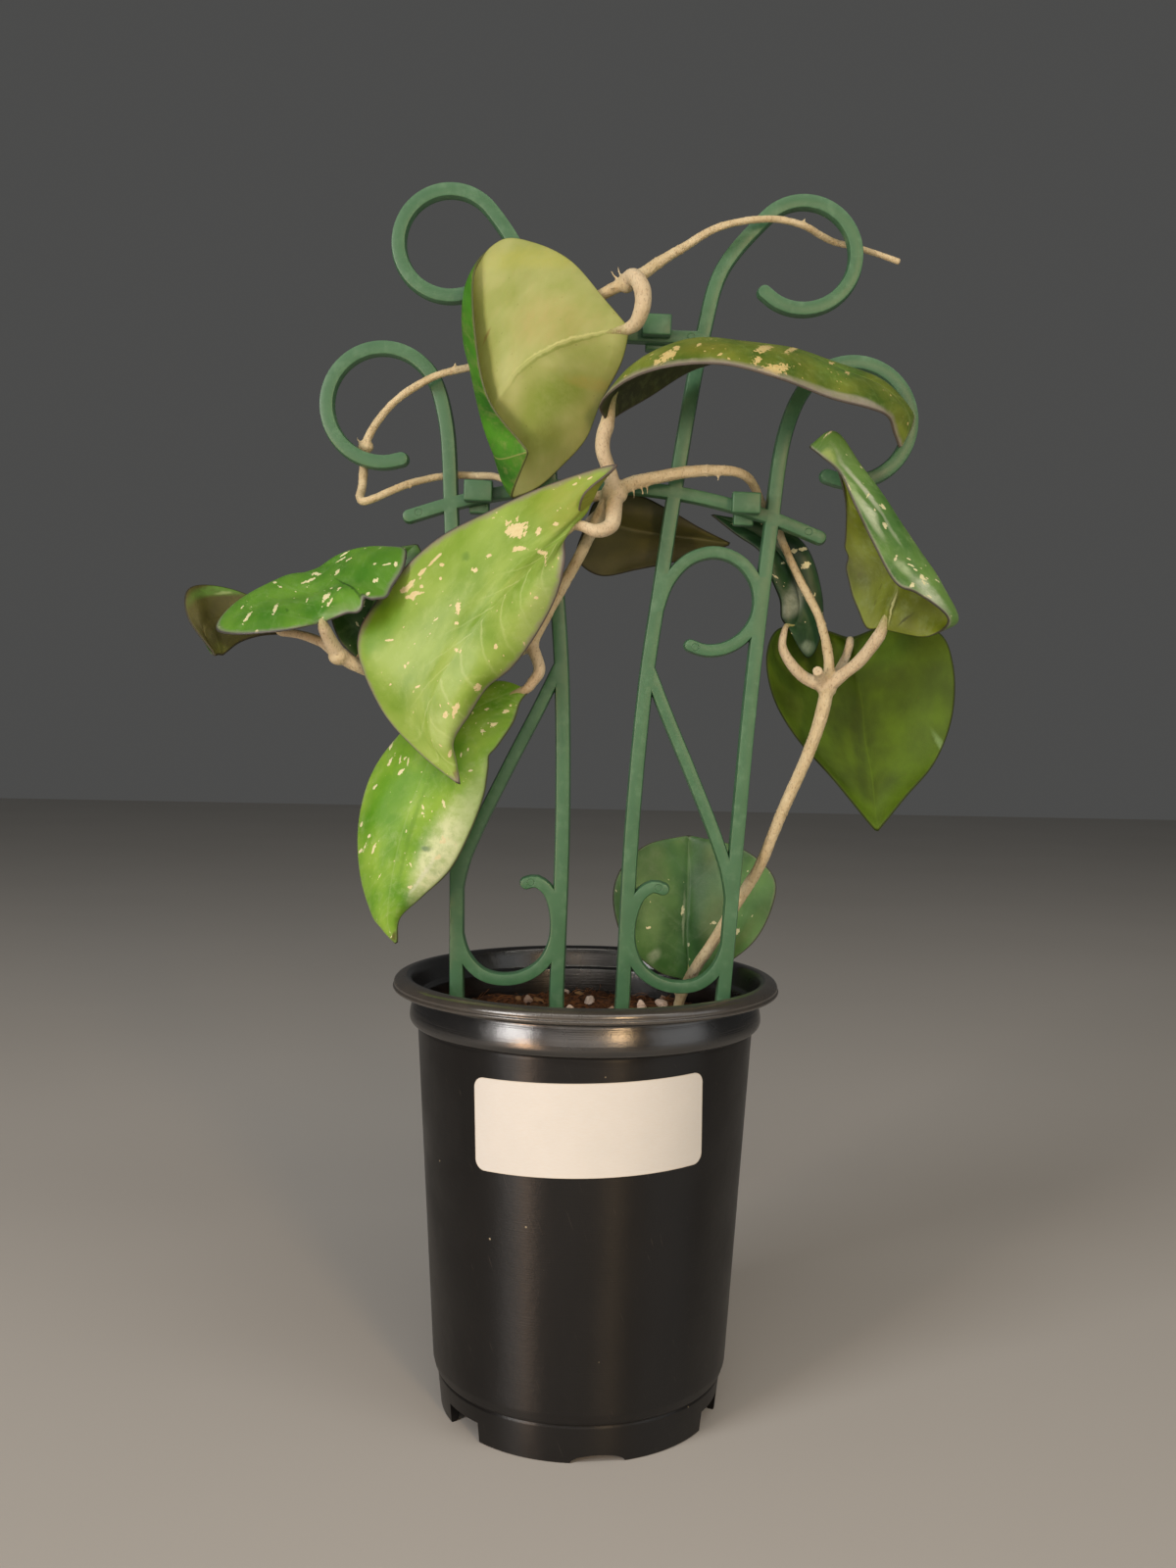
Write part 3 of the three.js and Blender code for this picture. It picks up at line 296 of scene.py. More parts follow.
def sticker_paper():
    """Matt coated label paper, cream white. The eye gets a soft, faintly fibrous face and a browner cut
    edge."""
    material, add = blank("coated label paper")
    place = millimetres(add)
    spot = add("Attribute", attribute_name="sticker").outputs["Vector"]
    rim = add("SeparateXYZ", Vector=spot).outputs[2]
    cloud = add("TexNoise", Vector=place, Scale=0.12, Detail=3.0)
    base = add("Mix", data_type="RGBA", i0=cloud, i6="#dfdfdb", i7="#e7e6e2")
    # paper fibres, 1.5 mm by 0.2 mm
    along = add("VectorMath", operation="MULTIPLY", i0=place, i1=(0.7, 0.7, 5))
    fibre = add("TexNoise", Vector=along, Scale=1.0, Detail=3.0)
    fibrous = add("MapRange", Value=fibre, From_Min=0.35, From_Max=0.7, To_Max=0.16)
    faced = add("Mix", data_type="RGBA", i0=fibrous, i6=base, i7="#d8cbb6")
    edge = add("MapRange", Value=rim, From_Min=0.35, From_Max=0.1, To_Max=0.55)
    colour = add("Mix", data_type="RGBA", i0=edge, i6=faced, i7="#cfc5b3")
    relief = add("Bump", Height=fibre, Strength=0.12, Distance=0.0001)
    skin = add("BsdfPrincipled", Base_Color=colour, Roughness=0.55, Normal=relief, IOR=1.48)
    add("OutputMaterial", Surface=skin)
    return material


def green_polyethylene():
    """Injection-moulded polyethylene, sage green. The eye gets a satin, slightly see-into plastic with
    cloudy flow and paler rubbed patches."""
    material, add = blank("green polyethylene, injection moulded")
    place = millimetres(add)
    # clouds of pigment 8 mm across, and rubbed patches of 3 mm
    cloud = add("TexNoise", Vector=place, Scale=0.12, Detail=4.0, Distortion=0.6)
    base = add("Mix", data_type="RGBA", i0=cloud, i6="#396546", i7="#517d59")
    rub = add("TexNoise", Vector=place, Scale=0.35, Detail=5.0)
    rubbed = add("MapRange", Value=rub, From_Min=0.52, From_Max=0.8, To_Max=0.25)
    colour = add("Mix", data_type="RGBA", i0=rubbed, i6=base, i7="#83a98a")
    gloss = add("MapRange", Value=rub, To_Min=0.3, To_Max=0.5)
    grit = add("TexNoise", Vector=place, Scale=1.4, Detail=3.0)
    relief = add("Bump", Height=grit, Strength=0.2, Distance=0.00015)
    skin = add(
        "BsdfPrincipled", Base_Color=colour, Roughness=gloss, Normal=relief, IOR=1.51,
        Subsurface_Weight=0.12, Subsurface_Radius=(0.5, 1.0, 0.6), Subsurface_Scale=0.0012,
    )
    add("OutputMaterial", Surface=skin)
    return material


def vine_bark():
    """Corky young bark, dry and matt. The eye gets a straw-coloured skin, split lengthwise, with brown
    scars and pale pores; the leaf stalks are browner, and green where they run into the leaf."""
    material, add = blank("corky vine bark")
    bark = add("Attribute", attribute_name="bark").outputs["Vector"]
    parts = add("SeparateXYZ", Vector=bark)
    place = millimetres(add)
    patch = add("TexNoise", Vector=place, Scale=0.22, Detail=4.0)
    woody = add("Mix", data_type="RGBA", i0=patch, i6="#b4a074", i7="#e4d8b6")
    fleshy = add("Mix", data_type="RGBA", i0=patch, i6="#bea986", i7="#e2d6b8")
    base = add("Mix", data_type="RGBA", i0=parts.outputs[2], i6=fleshy, i7=woody)
    green = add("MapRange", Value=parts.outputs[2], From_Min=-0.05, From_Max=-0.6, To_Max=0.85)
    base = add("Mix", data_type="RGBA", i0=green, i6=base, i7="#8f9650")
    # splits along the stem, 0.35 mm wide and 3 mm long
    grain = add("VectorMath", operation="MULTIPLY", i0=place, i1=(1.9, 1.9, 0.9))
    split = add("TexNoise", Vector=grain, Scale=1.0, Detail=5.0, Roughness=0.65)
    dark = add("MapRange", Value=split, From_Min=0.46, From_Max=0.32, To_Max=0.6)
    cracked = add("Mix", data_type="RGBA", i0=dark, i6=base, i7="#7a5c3c")
    # pores: pale dots of 0.3 mm
    cells = add("TexVoronoi", Vector=place, Scale=0.9, Randomness=1.0)
    pore = add("MapRange", Value=cells, From_Min=0.2, From_Max=0.1, To_Max=0.4)
    colour = add("Mix", data_type="RGBA", i0=pore, i6=cracked, i7="#e6d8bc")
    relief = add("Bump", Height=split, Strength=0.55, Distance=0.0005)
    skin = add(
        "BsdfPrincipled", Base_Color=colour, Roughness=0.72, Normal=relief, IOR=1.45,
        Subsurface_Weight=0.06, Subsurface_Radius=(1.0, 0.6, 0.4), Subsurface_Scale=0.0008,
    )
    add("OutputMaterial", Surface=skin)
    return material


# Colours of each leaf: upper side light and deep, underside light and deep, flush and rim, and the halo
# inside the rim with its width in mm. Then the share of flecks, and the strength of midrib and side veins
# and the gloss of the wax where these aren't the usual ones. The olive undersides of all leaves but
# leaf_top are partly their own colour and partly painted shade, and the leaves that sit behind the others
# (far left, back right, dark and centre back) have darker tones, which are painted shade.
LEAF_TONES = {
    "leaf_top": {
        "upper": ("#4f9220", "#2a6414"), "under": ("#adb472", "#93a052"), "flush": "#b3a470",
        "rim": "#4a4c2c", "halo": "#7f9440", "band": 0.5, "flecked": 0.06, "veins": 0.05,
    },
    "leaf_front": {
        "upper": ("#98b552", "#74992a"), "under": ("#7f8630", "#666d20"), "flush": "#b9cc84",
        "rim": "#574c4f", "halo": "#8a8078", "band": 1.5, "flecked": 0.3, "rib": 0.1, "veins": 0.5,
    },
    "leaf_lower_left": {
        "upper": ("#8cb444", "#579022"), "under": ("#8f9440", "#6f7626"), "flush": "#b9cb96",
        "rim": "#4a463a", "halo": "#86a262", "band": 0.9, "flecked": 0.5, "rib": 0.12, "veins": 0.06,
        "shine": 0.2,
    },
    "leaf_left": {
        "upper": ("#689a34", "#457e20"), "under": ("#6f7638", "#4a5224"), "flush": "#8bb070",
        "rim": "#3c323c", "halo": "#7d8672", "band": 1.25, "flecked": 0.35, "rib": 0.08, "veins": 0.2,
    },
    # painted shade: this leaf sits behind the others, and its tones are darkened for it
    "leaf_far_left": {
        "upper": ("#4f7f30", "#33581f"), "under": ("#565424", "#403f18"), "flush": "#6a6a30",
        "rim": "#2e2a20", "halo": "#5c6a48", "band": 0.6, "flecked": 0.12,
    },
    "leaf_back_left": {
        "upper": ("#44702a", "#274e1a"), "under": ("#5f6630", "#424a20"), "flush": "#7fa060",
        "rim": "#34322e", "halo": "#5a684c", "band": 0.7, "flecked": 0.5,
    },
    "leaf_arching": {
        "upper": ("#78862f", "#4a661c"), "under": ("#3c421e", "#2a3014"), "flush": "#9db36a",
        "rim": "#4b423f", "halo": "#979083", "band": 1.8, "flecked": 0.45,
    },
    "leaf_right": {
        "upper": ("#6d9549", "#3f6e2e"), "under": ("#78881e", "#545e10"), "flush": "#a9bf94",
        "rim": "#2e2826", "halo": "#8f9280", "band": 1.0, "flecked": 0.3,
    },
    # painted shade: this leaf sits behind the others, and its tones are darkened for it
    "leaf_back_right": {
        "upper": ("#4a7a34", "#2a5420"), "under": ("#557212", "#3c500c"), "flush": "#5f7b30",
        "rim": "#2c3412", "halo": "#4a6030", "band": 0.5, "flecked": 0.12, "shine": 0.25,
    },
    # painted shade: this leaf sits behind the others, and its tones are darkened for it
    "leaf_dark": {
        "upper": ("#27502b", "#17361c"), "under": ("#4c5a24", "#333f1a"), "flush": "#45664a",
        "rim": "#151a12", "halo": "#2c4a30", "band": 0.6, "flecked": 0.5,
    },
    # painted shade: this leaf sits behind the others, and its tones are darkened for it
    "leaf_centre_back": {
        "upper": ("#4a7a34", "#2a5420"), "under": ("#504f22", "#3a3a18"), "flush": "#5a5a28",
        "rim": "#2c2818", "halo": "#4c5026", "band": 0.5, "flecked": 0.1,
    },
    "leaf_soil": {
        "upper": ("#5a864a", "#3a6430"), "under": ("#5f6b38", "#465026"), "flush": "#7c9670",
        "rim": "#45423a", "halo": "#6f8462", "band": 0.9, "flecked": 0.2,
    },
}

# Marks on the leaves, set to lie as in the photo. Each is a place in the frame's pixels, with a
# length and a breadth in pixels and a turn in degrees. The camera gives its place on the blade.
FRAME_WIDTH = 1200
FRAME_HEIGHT = 1600
# Cream splashes. They are drawn a little slimmer than given, but at least a quarter of a millimetre.
SPLASH_SHARE = 0.85
SPLASH_LEAST = 0.25
SPLASHES = {
    "leaf_front": (
        (528, 541, 27, 20, 20), (550, 543, 11, 6, 70), (530, 560, 18, 7, 5), (554, 563, 13, 5, 5),
        (567, 534, 6, 5, 0), (485, 582, 8, 7, 30), (446, 569, 20, 3.5, 45), (431, 584, 16, 4.5, 45),
        (416, 599, 26, 8, 45), (430, 599, 6, 5, 0), (450, 590, 5, 3, 60), (467, 620, 15, 7, 80),
        (466, 635, 6, 4, 0), (445, 632, 9, 2.5, 35), (465, 663, 5, 5, 0), (507, 660, 5.5, 4, 80),
        (398, 654, 11, 2.5, 5), (487, 701, 10, 8, 60), (466.5, 724, 17, 8, 75), (454, 730, 10, 6, 80),
        (426, 701, 5, 3, 40), (460, 770, 11, 3, 90), (547, 610, 5, 4, 0), (451, 578, 6, 3, 0),
        (413, 680, 5, 3, 80), (601, 489, 8, 2, 30), (586, 494, 7, 2, 30),
    ),
    "leaf_lower_left": (
        (399, 761, 12, 3, 60), (398, 776, 12, 3, 60), (408, 774, 10, 2, 80), (417, 777, 9, 2, 80),
        (409, 788, 12, 4, 45), (383, 804, 8, 3, 60), (369, 841, 7, 3, 70), (377, 853, 6, 3, 60),
        (368, 867, 6, 3, 70), (497, 723, 6, 3, 20), (516, 725, 9, 4, 10), (522, 720, 4, 3, 0),
        (453, 858, 9, 7, 30), (447, 875, 8, 6, 30), (470, 770, 5, 3, 60), (478, 765, 4, 2.5, 60),
        (480, 786, 5, 3, 20), (420, 905, 5, 4, 0), (430, 830, 4, 3, 0),
    ),
    "leaf_left": (
        (252.5, 630, 15, 4, 53), (247, 620, 6, 2.5, 45), (281.5, 622, 13, 4, 65), (333, 610, 13, 6, 40),
        (323.5, 586, 10, 4, 20), (317, 592.5, 13, 2.5, 25), (280.5, 594.5, 5, 3, 20),
        (394, 576, 11, 2.5, 15), (403.5, 576, 6, 5, 0), (382.5, 593, 9, 5, 30), (351, 565, 13, 2, 30),
        (348, 570, 11, 2, 30), (356, 571, 8, 2, 30), (313.5, 611, 5, 2, 60), (375, 606, 6, 4, 30),
        (262, 644, 5, 3, 50),
    ),
    "leaf_arching": (
        (681, 363, 26, 9, 30), (672, 369, 10, 6, 30), (690, 356, 10, 5, 20), (780, 356, 22, 8, 10),
        (789, 378, 40, 16, 10), (808, 358, 14, 4, 5), (772, 368, 10, 8, 0), (735, 362, 7, 3, 20),
        (848, 372, 8, 4, 0), (865, 381, 7, 4, -20), (712, 352, 7, 4, 20),
    ),
    "leaf_right": (
        (861, 489, 10, 4, -60), (865, 496, 8, 3, -60), (903, 536, 9, 5, -64), (913, 571, 7, 4, 75),
        (930, 577, 9, 2, -26), (934, 581, 7, 2, -28), (931, 597, 7, 5, 62), (885, 506, 6, 2, 62),
        (892, 520, 3, 2, -51), (926, 570, 6, 2, -30), (944, 610, 8, 3, -40), (948, 608, 6, 2.5, -37),
    ),
    "leaf_dark": (
        (809, 562, 6.5, 5.5, 0), (820, 559, 9, 5.5, 0), (823, 578, 9, 8, 20), (815, 590, 5, 4.5, 0),
        (800, 574, 4, 3.5, 0),
    ),
    "leaf_back_right": (
        (895, 832, 6.5, 5.5, 35),
    ),
    "leaf_soil": (
        (697, 928, 9.5, 4.5, 78), (663, 946, 5, 4.5, 0), (728, 941, 6, 4.5, 0), (742, 960, 5, 3.5, 30),
    ),
}

# Soft patches, creases and scars, each with its colour and strength. Some are painted shade and painted
# highlights, as the notes below say.
PATCHES = {
    "leaf_top": (
        # (568, 402): painted shade below the raised midrib
        (560, 325, 95, 60, 10, "#b3a468", 0.42), (568, 402, 90, 50, 30, "#7f9a34", 0.75),
        (545, 262, 110, 26, 0, "#aeb257", 0.6), (603, 392, 16, 60, 80, "#b2a75a", 0.6),
        (548, 450, 60, 30, 35, "#7a8a34", 0.6), (496.5, 344, 22, 3, 65, "#8a7440", 0.8),
        # painted shade and painted highlight along the raised midrib: the dark line below it and the pale
        # line on it
        (574, 355, 149, 3.7, 23, "#7b8a3a", 0.8), (579, 348, 143, 2.8, 20, "#d2d490", 0.6),
    ),
    "leaf_front": (
        # (391, 638) and, on the next line, (376, 655): darker green at the left edge, painted shade where
        # leaf_left shadows it
        (592, 508, 80, 36, 32, "#8c9a2e", 0.8), (391, 638, 76, 40, 58, "#5f8f14", 0.8),
        (376, 655, 40, 16, 80, "#649416", 0.7), (585, 520, 80, 50, 35, "#94982f", 0.5),
        (452, 745, 50, 60, 70, "#b3c982", 0.5), (478, 570, 70, 40, 30, "#83a636", 0.45),
        (476, 568, 12, 10, 60, "#4f7d20", 0.6), (548, 620, 110, 34, 72, "#b4c67e", 0.5),
        (467, 790, 16, 6, -70, "#6b5a30", 0.8),
    ),
    "leaf_lower_left": (
        (449, 882, 151, 64, 71, "#e2ecc2", 0.95), (492, 814, 121, 55, 65, "#b6cf90", 0.6),
        (392, 815, 60, 36, 60, "#5b931e", 0.6), (436, 866, 11, 7, 0, "#3c6650", 0.7),
        (505, 745, 50, 22, 50, "#6c9a2a", 0.5), (405, 955, 16, 8, 60, "#5a4a2c", 0.85),
        # (418, 850): painted shade beside the midrib
        (432, 893, 50, 5, 55, "#dfe6cf", 0.6), (418, 850, 140, 6, 74, "#5c8c26", 0.55),
        (405, 788, 114, 33, 69, "#5f951f", 0.7), (431, 787, 80, 17, 61, "#639a24", 0.6),
    ),
    "leaf_left": (
        (293, 623, 4, 4, 0, "#2a5416", 0.8), (345, 622, 50, 16, 15, "#7f9f58", 0.55),
        (262, 640, 40, 16, 30, "#5e8b3c", 0.5), (390, 570, 36, 20, 0, "#3f7a1e", 0.5),
        # painted shade in the crease: the two dark lines
        (358, 599, 34, 2.4, -28, "#1f3d14", 0.85), (372, 607, 9, 3, -30, "#1f3d14", 0.8),
    ),
    "leaf_far_left": (
        (223, 602, 90, 12, 4, "#5f8c36", 0.9), (229, 605, 20, 3.5, 4, "#9fb276", 0.7),
        (225, 662, 22, 16, 50, "#6c7230", 0.6),
    ),
    "leaf_arching": (
        (718, 354, 60, 14, 5, "#87842c", 0.55), (850, 375, 60, 18, -20, "#6f9a42", 0.45),
        (915, 438, 20, 34, 60, "#8a9c36", 0.8), (868, 406, 110, 9, -12, "#a8a696", 0.85),
        (760, 378, 60, 5, -18, "#9c9888", 0.6),
    ),
    "leaf_right": (
        (946, 603, 51, 15, -47, "#c9d8ba", 0.9), (844, 465, 30, 17, -35, "#abc275", 0.8),
        (884, 521, 62, 11, -52, "#c3d3b2", 0.9), (864, 545, 60, 18, 85, "#6a7418", 0.6),
        (922, 580, 28, 10, -44, "#b2c99c", 0.75), (873, 503, 40, 7.5, -59, "#a9c58a", 0.6),
        (889, 508, 120, 5.3, -55, "#cfd8c2", 0.8), (905, 530, 60, 14, -55, "#5d8a48", 0.5),
        (909, 622, 44, 7, 74, "#4a5212", 0.75), (909.5, 622, 42, 2.4, 74, "#c2c78a", 0.9),
        (922, 633, 24, 2.4, 40, "#3a3f12", 0.8), (876, 587, 8, 5, 40, "#565c14", 0.7),
        (898, 600, 9, 3, 60, "#565c14", 0.6), (893, 615, 7, 3, 70, "#565c14", 0.6),
    ),
    "leaf_dark": (
        # (811, 612): a painted glare of light on the upper side
        (811, 612, 52, 21, 74, "#a9b5a6", 0.8), (825, 661, 15, 15, 0, "#8fa48e", 0.6),
    ),
    "leaf_back_right": (
        # (900, 690): painted shade over the upper part of the blade
        (876, 760, 120, 14, -82, "#33450f", 0.65), (900, 690, 90, 36, 0, "#3a4a14", 0.6),
        (962, 762, 40, 8, -58, "#7a985f", 0.75),
    ),
    "leaf_soil": (
        (664, 950, 60, 26, 85, "#6d9355", 0.6), (668, 976, 18, 12, 50, "#b4c2a6", 0.6),
        (735, 935, 40, 22, 60, "#48703c", 0.5), (698, 935, 60, 3.5, 87, "#a9b890", 0.7),
    ),
}

# Cream of the flecks where it isn't the usual one
FLECK_COLOURS = {"leaf_front": ("#cfbd82", "#ebe2b8"), "leaf_arching": ("#c4ab66", "#e2d59a")}

# Small cream flecks of three sizes: cell in mm, stretch along the side veins, reach within the cell, share
FLECK_SIZES = ((3.6, 2.2, 0.27, 0.5), (2, 2.6, 0.25, 0.5), (1.1, 1.8, 0.24, 0.4))
VEIN_SLANT = math.radians(48)
VEIN_SPACING = 8.5


def waxy_leaf(node):
    """A thick evergreen leaf under a wax skin. The eye gets a satin green upper side with soft mottling,
    pale veins, cream flecks and a grey rim, and a duller, yellower underside. Some tones and patches are
    painted shade and painted highlights."""
    tone = LEAF_TONES[node]
    material, add = blank("waxy leaf, " + node.replace("leaf_", "").replace("_", " "))
    blade = add("Attribute", attribute_name="blade").outputs["Vector"]
    spot = add("Attribute", attribute_name="spot").outputs["Vector"]
    across, along, top = add("SeparateXYZ", Vector=blade).outputs[:3]
    _, share_along, rim = add("SeparateXYZ", Vector=spot).outputs[:3]
    seed = float(sum(map(ord, node)) % 97)

    # blade coordinates, and the same folded at the midrib, each half at its own depth so that they differ
    reach = add("Math", operation="ABSOLUTE", i0=across)
    half = add("Math", operation="GREATER_THAN", i0=across, i1=0.0)
    depth = add("Math", operation="MULTIPLY_ADD", i0=half, i1=23.0, i2=seed)
    folded = add("CombineXYZ", X=reach, Y=along, Z=depth)
    plain = add("CombineXYZ", X=across, Y=along, Z=seed)

    # mottling: clouds 11 mm across on the upper side, and finer ones of 3 mm
    cloud = add("TexNoise", Vector=plain, Scale=0.09, Detail=3.0, Roughness=0.5)
    clear = add("MapRange", Value=cloud, From_Min=0.32, From_Max=0.66)
    green = add("Mix", data_type="RGBA", i0=clear, i6=tone["upper"][1], i7=tone["upper"][0])
    mottle = add("TexNoise", Vector=plain, Scale=0.34, Detail=5.0, Roughness=0.7)
    silver = add("MapRange", Value=mottle, From_Min=0.5, From_Max=0.8, To_Max=0.34)
    silvered = add("Mix", data_type="RGBA", i0=silver, i6=green, i7=tone["flush"])

    # side veins, drawn by their slant and spacing and shaken a little
    shake = add("Math", operation="MULTIPLY_ADD", i0=mottle, i1=2.6, i2=along)
    back = add("Math", operation="MULTIPLY_ADD", i0=reach, i1=-0.8, i2=shake)
    spaced = add("Math", operation="MULTIPLY_ADD", i0=back, i1=1 / VEIN_SPACING, i2=half)
    staggered = add("Math", operation="MULTIPLY_ADD", i0=half, i1=-0.5, i2=spaced)
    phase = add("Math", operation="PINGPONG", i0=staggered, i1=0.5)
    line = add("MapRange", Value=phase, From_Min=0.08, From_Max=0.0)
    fading = add("MapRange", Value=reach, From_Min=19.0, From_Max=2.0, To_Max=tone.get("veins", 0.15))
    vein = add("Math", operation="MULTIPLY", i0=line, i1=fading)
    veined = add("Mix", data_type="RGBA", i0=vein, i6=silvered, i7=tone["flush"])
    width = add("Math", operation="MULTIPLY_ADD", i0=share_along, i1=-0.35, i2=0.6)
    rib = add("MapRange", Value=reach, From_Min=width, From_Max=0.1, To_Max=tone.get("rib", 0.4))
    ribbed = add("Mix", data_type="RGBA", i0=rib, i6=veined, i7=tone["flush"])

    # small flecks: chosen cells of three sizes, crowded in places, angular and stretched along the veins
    turned = add("VectorRotate", rotation_type="Z_AXIS", Vector=folded, Angle=-VEIN_SLANT)
    crowd = add("TexNoise", Vector=plain, Scale=0.09, Detail=2.0)
    crowded = add("MapRange", Value=crowd, From_Min=0.42, From_Max=0.66, To_Min=0.1, To_Max=2.2)
    ragged = add("TexNoise", Vector=plain, Scale=1.1, Detail=2.5, Roughness=0.5)
    flecks = None
    for cell, stretch, size, share in FLECK_SIZES:
        grid = add("VectorMath", operation="MULTIPLY", i0=turned, i1=(1 / (cell * stretch), 1 / cell, 1.0))
        cells = add("TexVoronoi", distance="MANHATTAN", Vector=grid, Scale=1.0, Randomness=1.0)
        torn = add("Math", operation="MULTIPLY_ADD", i0=ragged, i1=0.7, i2=cells)
        inside = add("MapRange", Value=torn, From_Min=size + 0.31, From_Max=size + 0.27)
        pick = add("SeparateColor", Color=cells.outputs["Color"])
        wanted = add("Math", operation="MULTIPLY", i0=crowded, i1=share * tone["flecked"])
        chosen = add("Math", operation="LESS_THAN", i0=pick, i1=wanted)
        drawn = add("Math", operation="MULTIPLY", i0=inside, i1=chosen)
        if flecks is not None:
            drawn = add("Math", operation="MAXIMUM", i0=flecks, i1=drawn)
        flecks = drawn

    # splashes: the nearest one by its own measure, torn at its edge
    nearest = None
    for mark in SPLASHES.get(node, ()):
        place, halves, turn = on_blade(node, *mark)
        slim = max(SPLASH_LEAST, halves[1] * SPLASH_SHARE)
        local = add(
            "Mapping", vector_type="TEXTURE", Vector=plain, Location=(*place, seed), Rotation=(0, 0, turn),
            Scale=(halves[0], slim, 1),
        )
        away = add("VectorMath", operation="LENGTH", i0=local)
        if nearest is not None:
            away = add("Math", operation="MINIMUM", i0=nearest, i1=away)
        nearest = away
    if nearest is not None:
        torn = add("Math", operation="MULTIPLY_ADD", i0=ragged, i1=2.4, i2=nearest)
        splash = add("MapRange", Value=torn, From_Min=2.1, From_Max=1.98)
        flecks = add("Math", operation="MAXIMUM", i0=flecks, i1=splash)
    dark_fleck, pale_fleck = FLECK_COLOURS.get(node, ("#d6d39c", "#ecebc8"))
    tan = add("Mix", data_type="RGBA", i0=ragged, i6=dark_fleck, i7=pale_fleck)

    # underside: yellower, with soft patches and brown pin-pricks; on most leaves its olive tones hold
    # painted shade
    patch = add("MapRange", Value=cloud, From_Min=0.3, From_Max=0.7)
    below = add("Mix", data_type="RGBA", i0=patch, i6=tone["under"][1], i7=tone["under"][0])
    blush = add("MapRange", Value=mottle, From_Min=0.48, From_Max=0.8, To_Max=0.22)
    blushed = add("Mix", data_type="RGBA", i0=blush, i6=below, i7=tone["flush"])
    pricks = add("TexVoronoi", Vector=plain, Scale=0.28, Randomness=1.0)
    prick = add("MapRange", Value=pricks, From_Min=0.09, From_Max=0.04, To_Max=0.3)
    pricked = add("Mix", data_type="RGBA", i0=prick, i6=blushed, i7="#5f5a24")
    below_rib = add("Mix", data_type="RGBA", i0=rib, i6=pricked, i7=tone["under"][0])
    both = add("Mix", data_type="RGBA", i0=top, i6=below_rib, i7=ribbed)

    # soft patches and creases, some of them painted shade and painted highlights, shaken by 0.8 mm so that
    # no edge is even
    shift = add(
        "VectorMath", operation="MULTIPLY_ADD", i0=mottle.outputs["Color"], i1=(1.6, 1.6, 0),
        i2=(-0.8, -0.8, 0),
    )
    shaken = add("VectorMath", operation="ADD", i0=plain, i1=shift)
    streaked = add("MapRange", Value=mottle, From_Min=0.35, From_Max=0.6, To_Min=0.55)
    for *mark, colour, strength in PATCHES.get(node, ()):
        place, halves, turn = on_blade(node, *mark)
        local = add(
            "Mapping", vector_type="TEXTURE", Vector=shaken, Location=(*place, seed), Rotation=(0, 0, turn),
            Scale=(*halves, 1),
        )
        away = add("VectorMath", operation="LENGTH", i0=local)
        soft = add(
            "MapRange", interpolation_type="SMOOTHSTEP", Value=away, From_Min=1.25, From_Max=0.35,
            To_Max=strength,
        )
        soft = add("Math", operation="MULTIPLY", i0=soft, i1=streaked)
        both = add("Mix", data_type="RGBA", i0=soft, i6=both, i7=colour)
    flecks_above = add("Math", operation="MULTIPLY", i0=flecks, i1=top)
    flecked = add("Mix", data_type="RGBA", i0=flecks_above, i6=both, i7=tan)

    # rim: a grey band on the upper side, and a thin dark edge
    wavy = add("Math", operation="MULTIPLY_ADD", i0=mottle, i1=-2.0, i2=rim)
    band = add(
        "MapRange", Value=wavy, From_Min=tone["band"] - 0.8, From_Max=tone["band"] * 0.4 - 1.2, To_Max=0.85
    )
    band_above = add("Math", operation="MULTIPLY", i0=band, i1=top)
    haloed = add("Mix", data_type="RGBA", i0=band_above, i6=flecked, i7=tone["halo"])
    edge = add("MapRange", Value=rim, From_Min=0.6, From_Max=0.25, To_Max=0.85)
    colour = add("Mix", data_type="RGBA", i0=edge, i6=haloed, i7=tone["rim"])

    dull = add("MapRange", Value=top, To_Min=0.5, To_Max=0.34)
    gloss = add("Math", operation="MULTIPLY_ADD", i0=mottle, i1=0.16, i2=dull)
    pores = add("TexNoise", Vector=plain, Scale=2.2, Detail=3.0)
    relief = add("Bump", Height=pores, Strength=0.12, Distance=0.0002)
    swell = add("Bump", Height=mottle, Strength=0.16, Distance=0.0006, Normal=relief)
    skin = add(
        "BsdfPrincipled", Base_Color=colour, Roughness=gloss, Normal=swell, IOR=1.45,
        Specular_IOR_Level=tone.get("shine", 0.5), Subsurface_Weight=0.1,
        Subsurface_Radius=(0.6, 1.0, 0.25), Subsurface_Scale=0.001,
    )
    add("OutputMaterial", Surface=skin)
    return material


def potting_soil():
    """Peat and coir, dry on top. The eye gets dark brown crumbs with rusty fibres and a few pale specks."""
    material, add = blank("peat and coir crumbs")
    place = millimetres(add)
    crumbs = add("TexVoronoi", Vector=place, Scale=0.7, Randomness=1.0)
    pick = add("SeparateColor", Color=crumbs.outputs["Color"])
    base = add("Mix", data_type="RGBA", i0=pick, i6="#2a1a10", i7="#5c3a20")
    cloud = add("TexNoise", Vector=place, Scale=0.5, Detail=6.0, Roughness=0.7)
    rust = add("MapRange", Value=cloud, From_Min=0.5, From_Max=0.7, To_Max=0.7)
    colour = add("Mix", data_type="RGBA", i0=rust, i6=base, i7="#80502a")
    relief = add("Bump", Height=cloud, Strength=0.8, Distance=0.0006)
    skin = add("BsdfPrincipled", Base_Color=colour, Roughness=0.93, Normal=relief, IOR=1.4)
    add("OutputMaterial", Surface=skin)
    return material


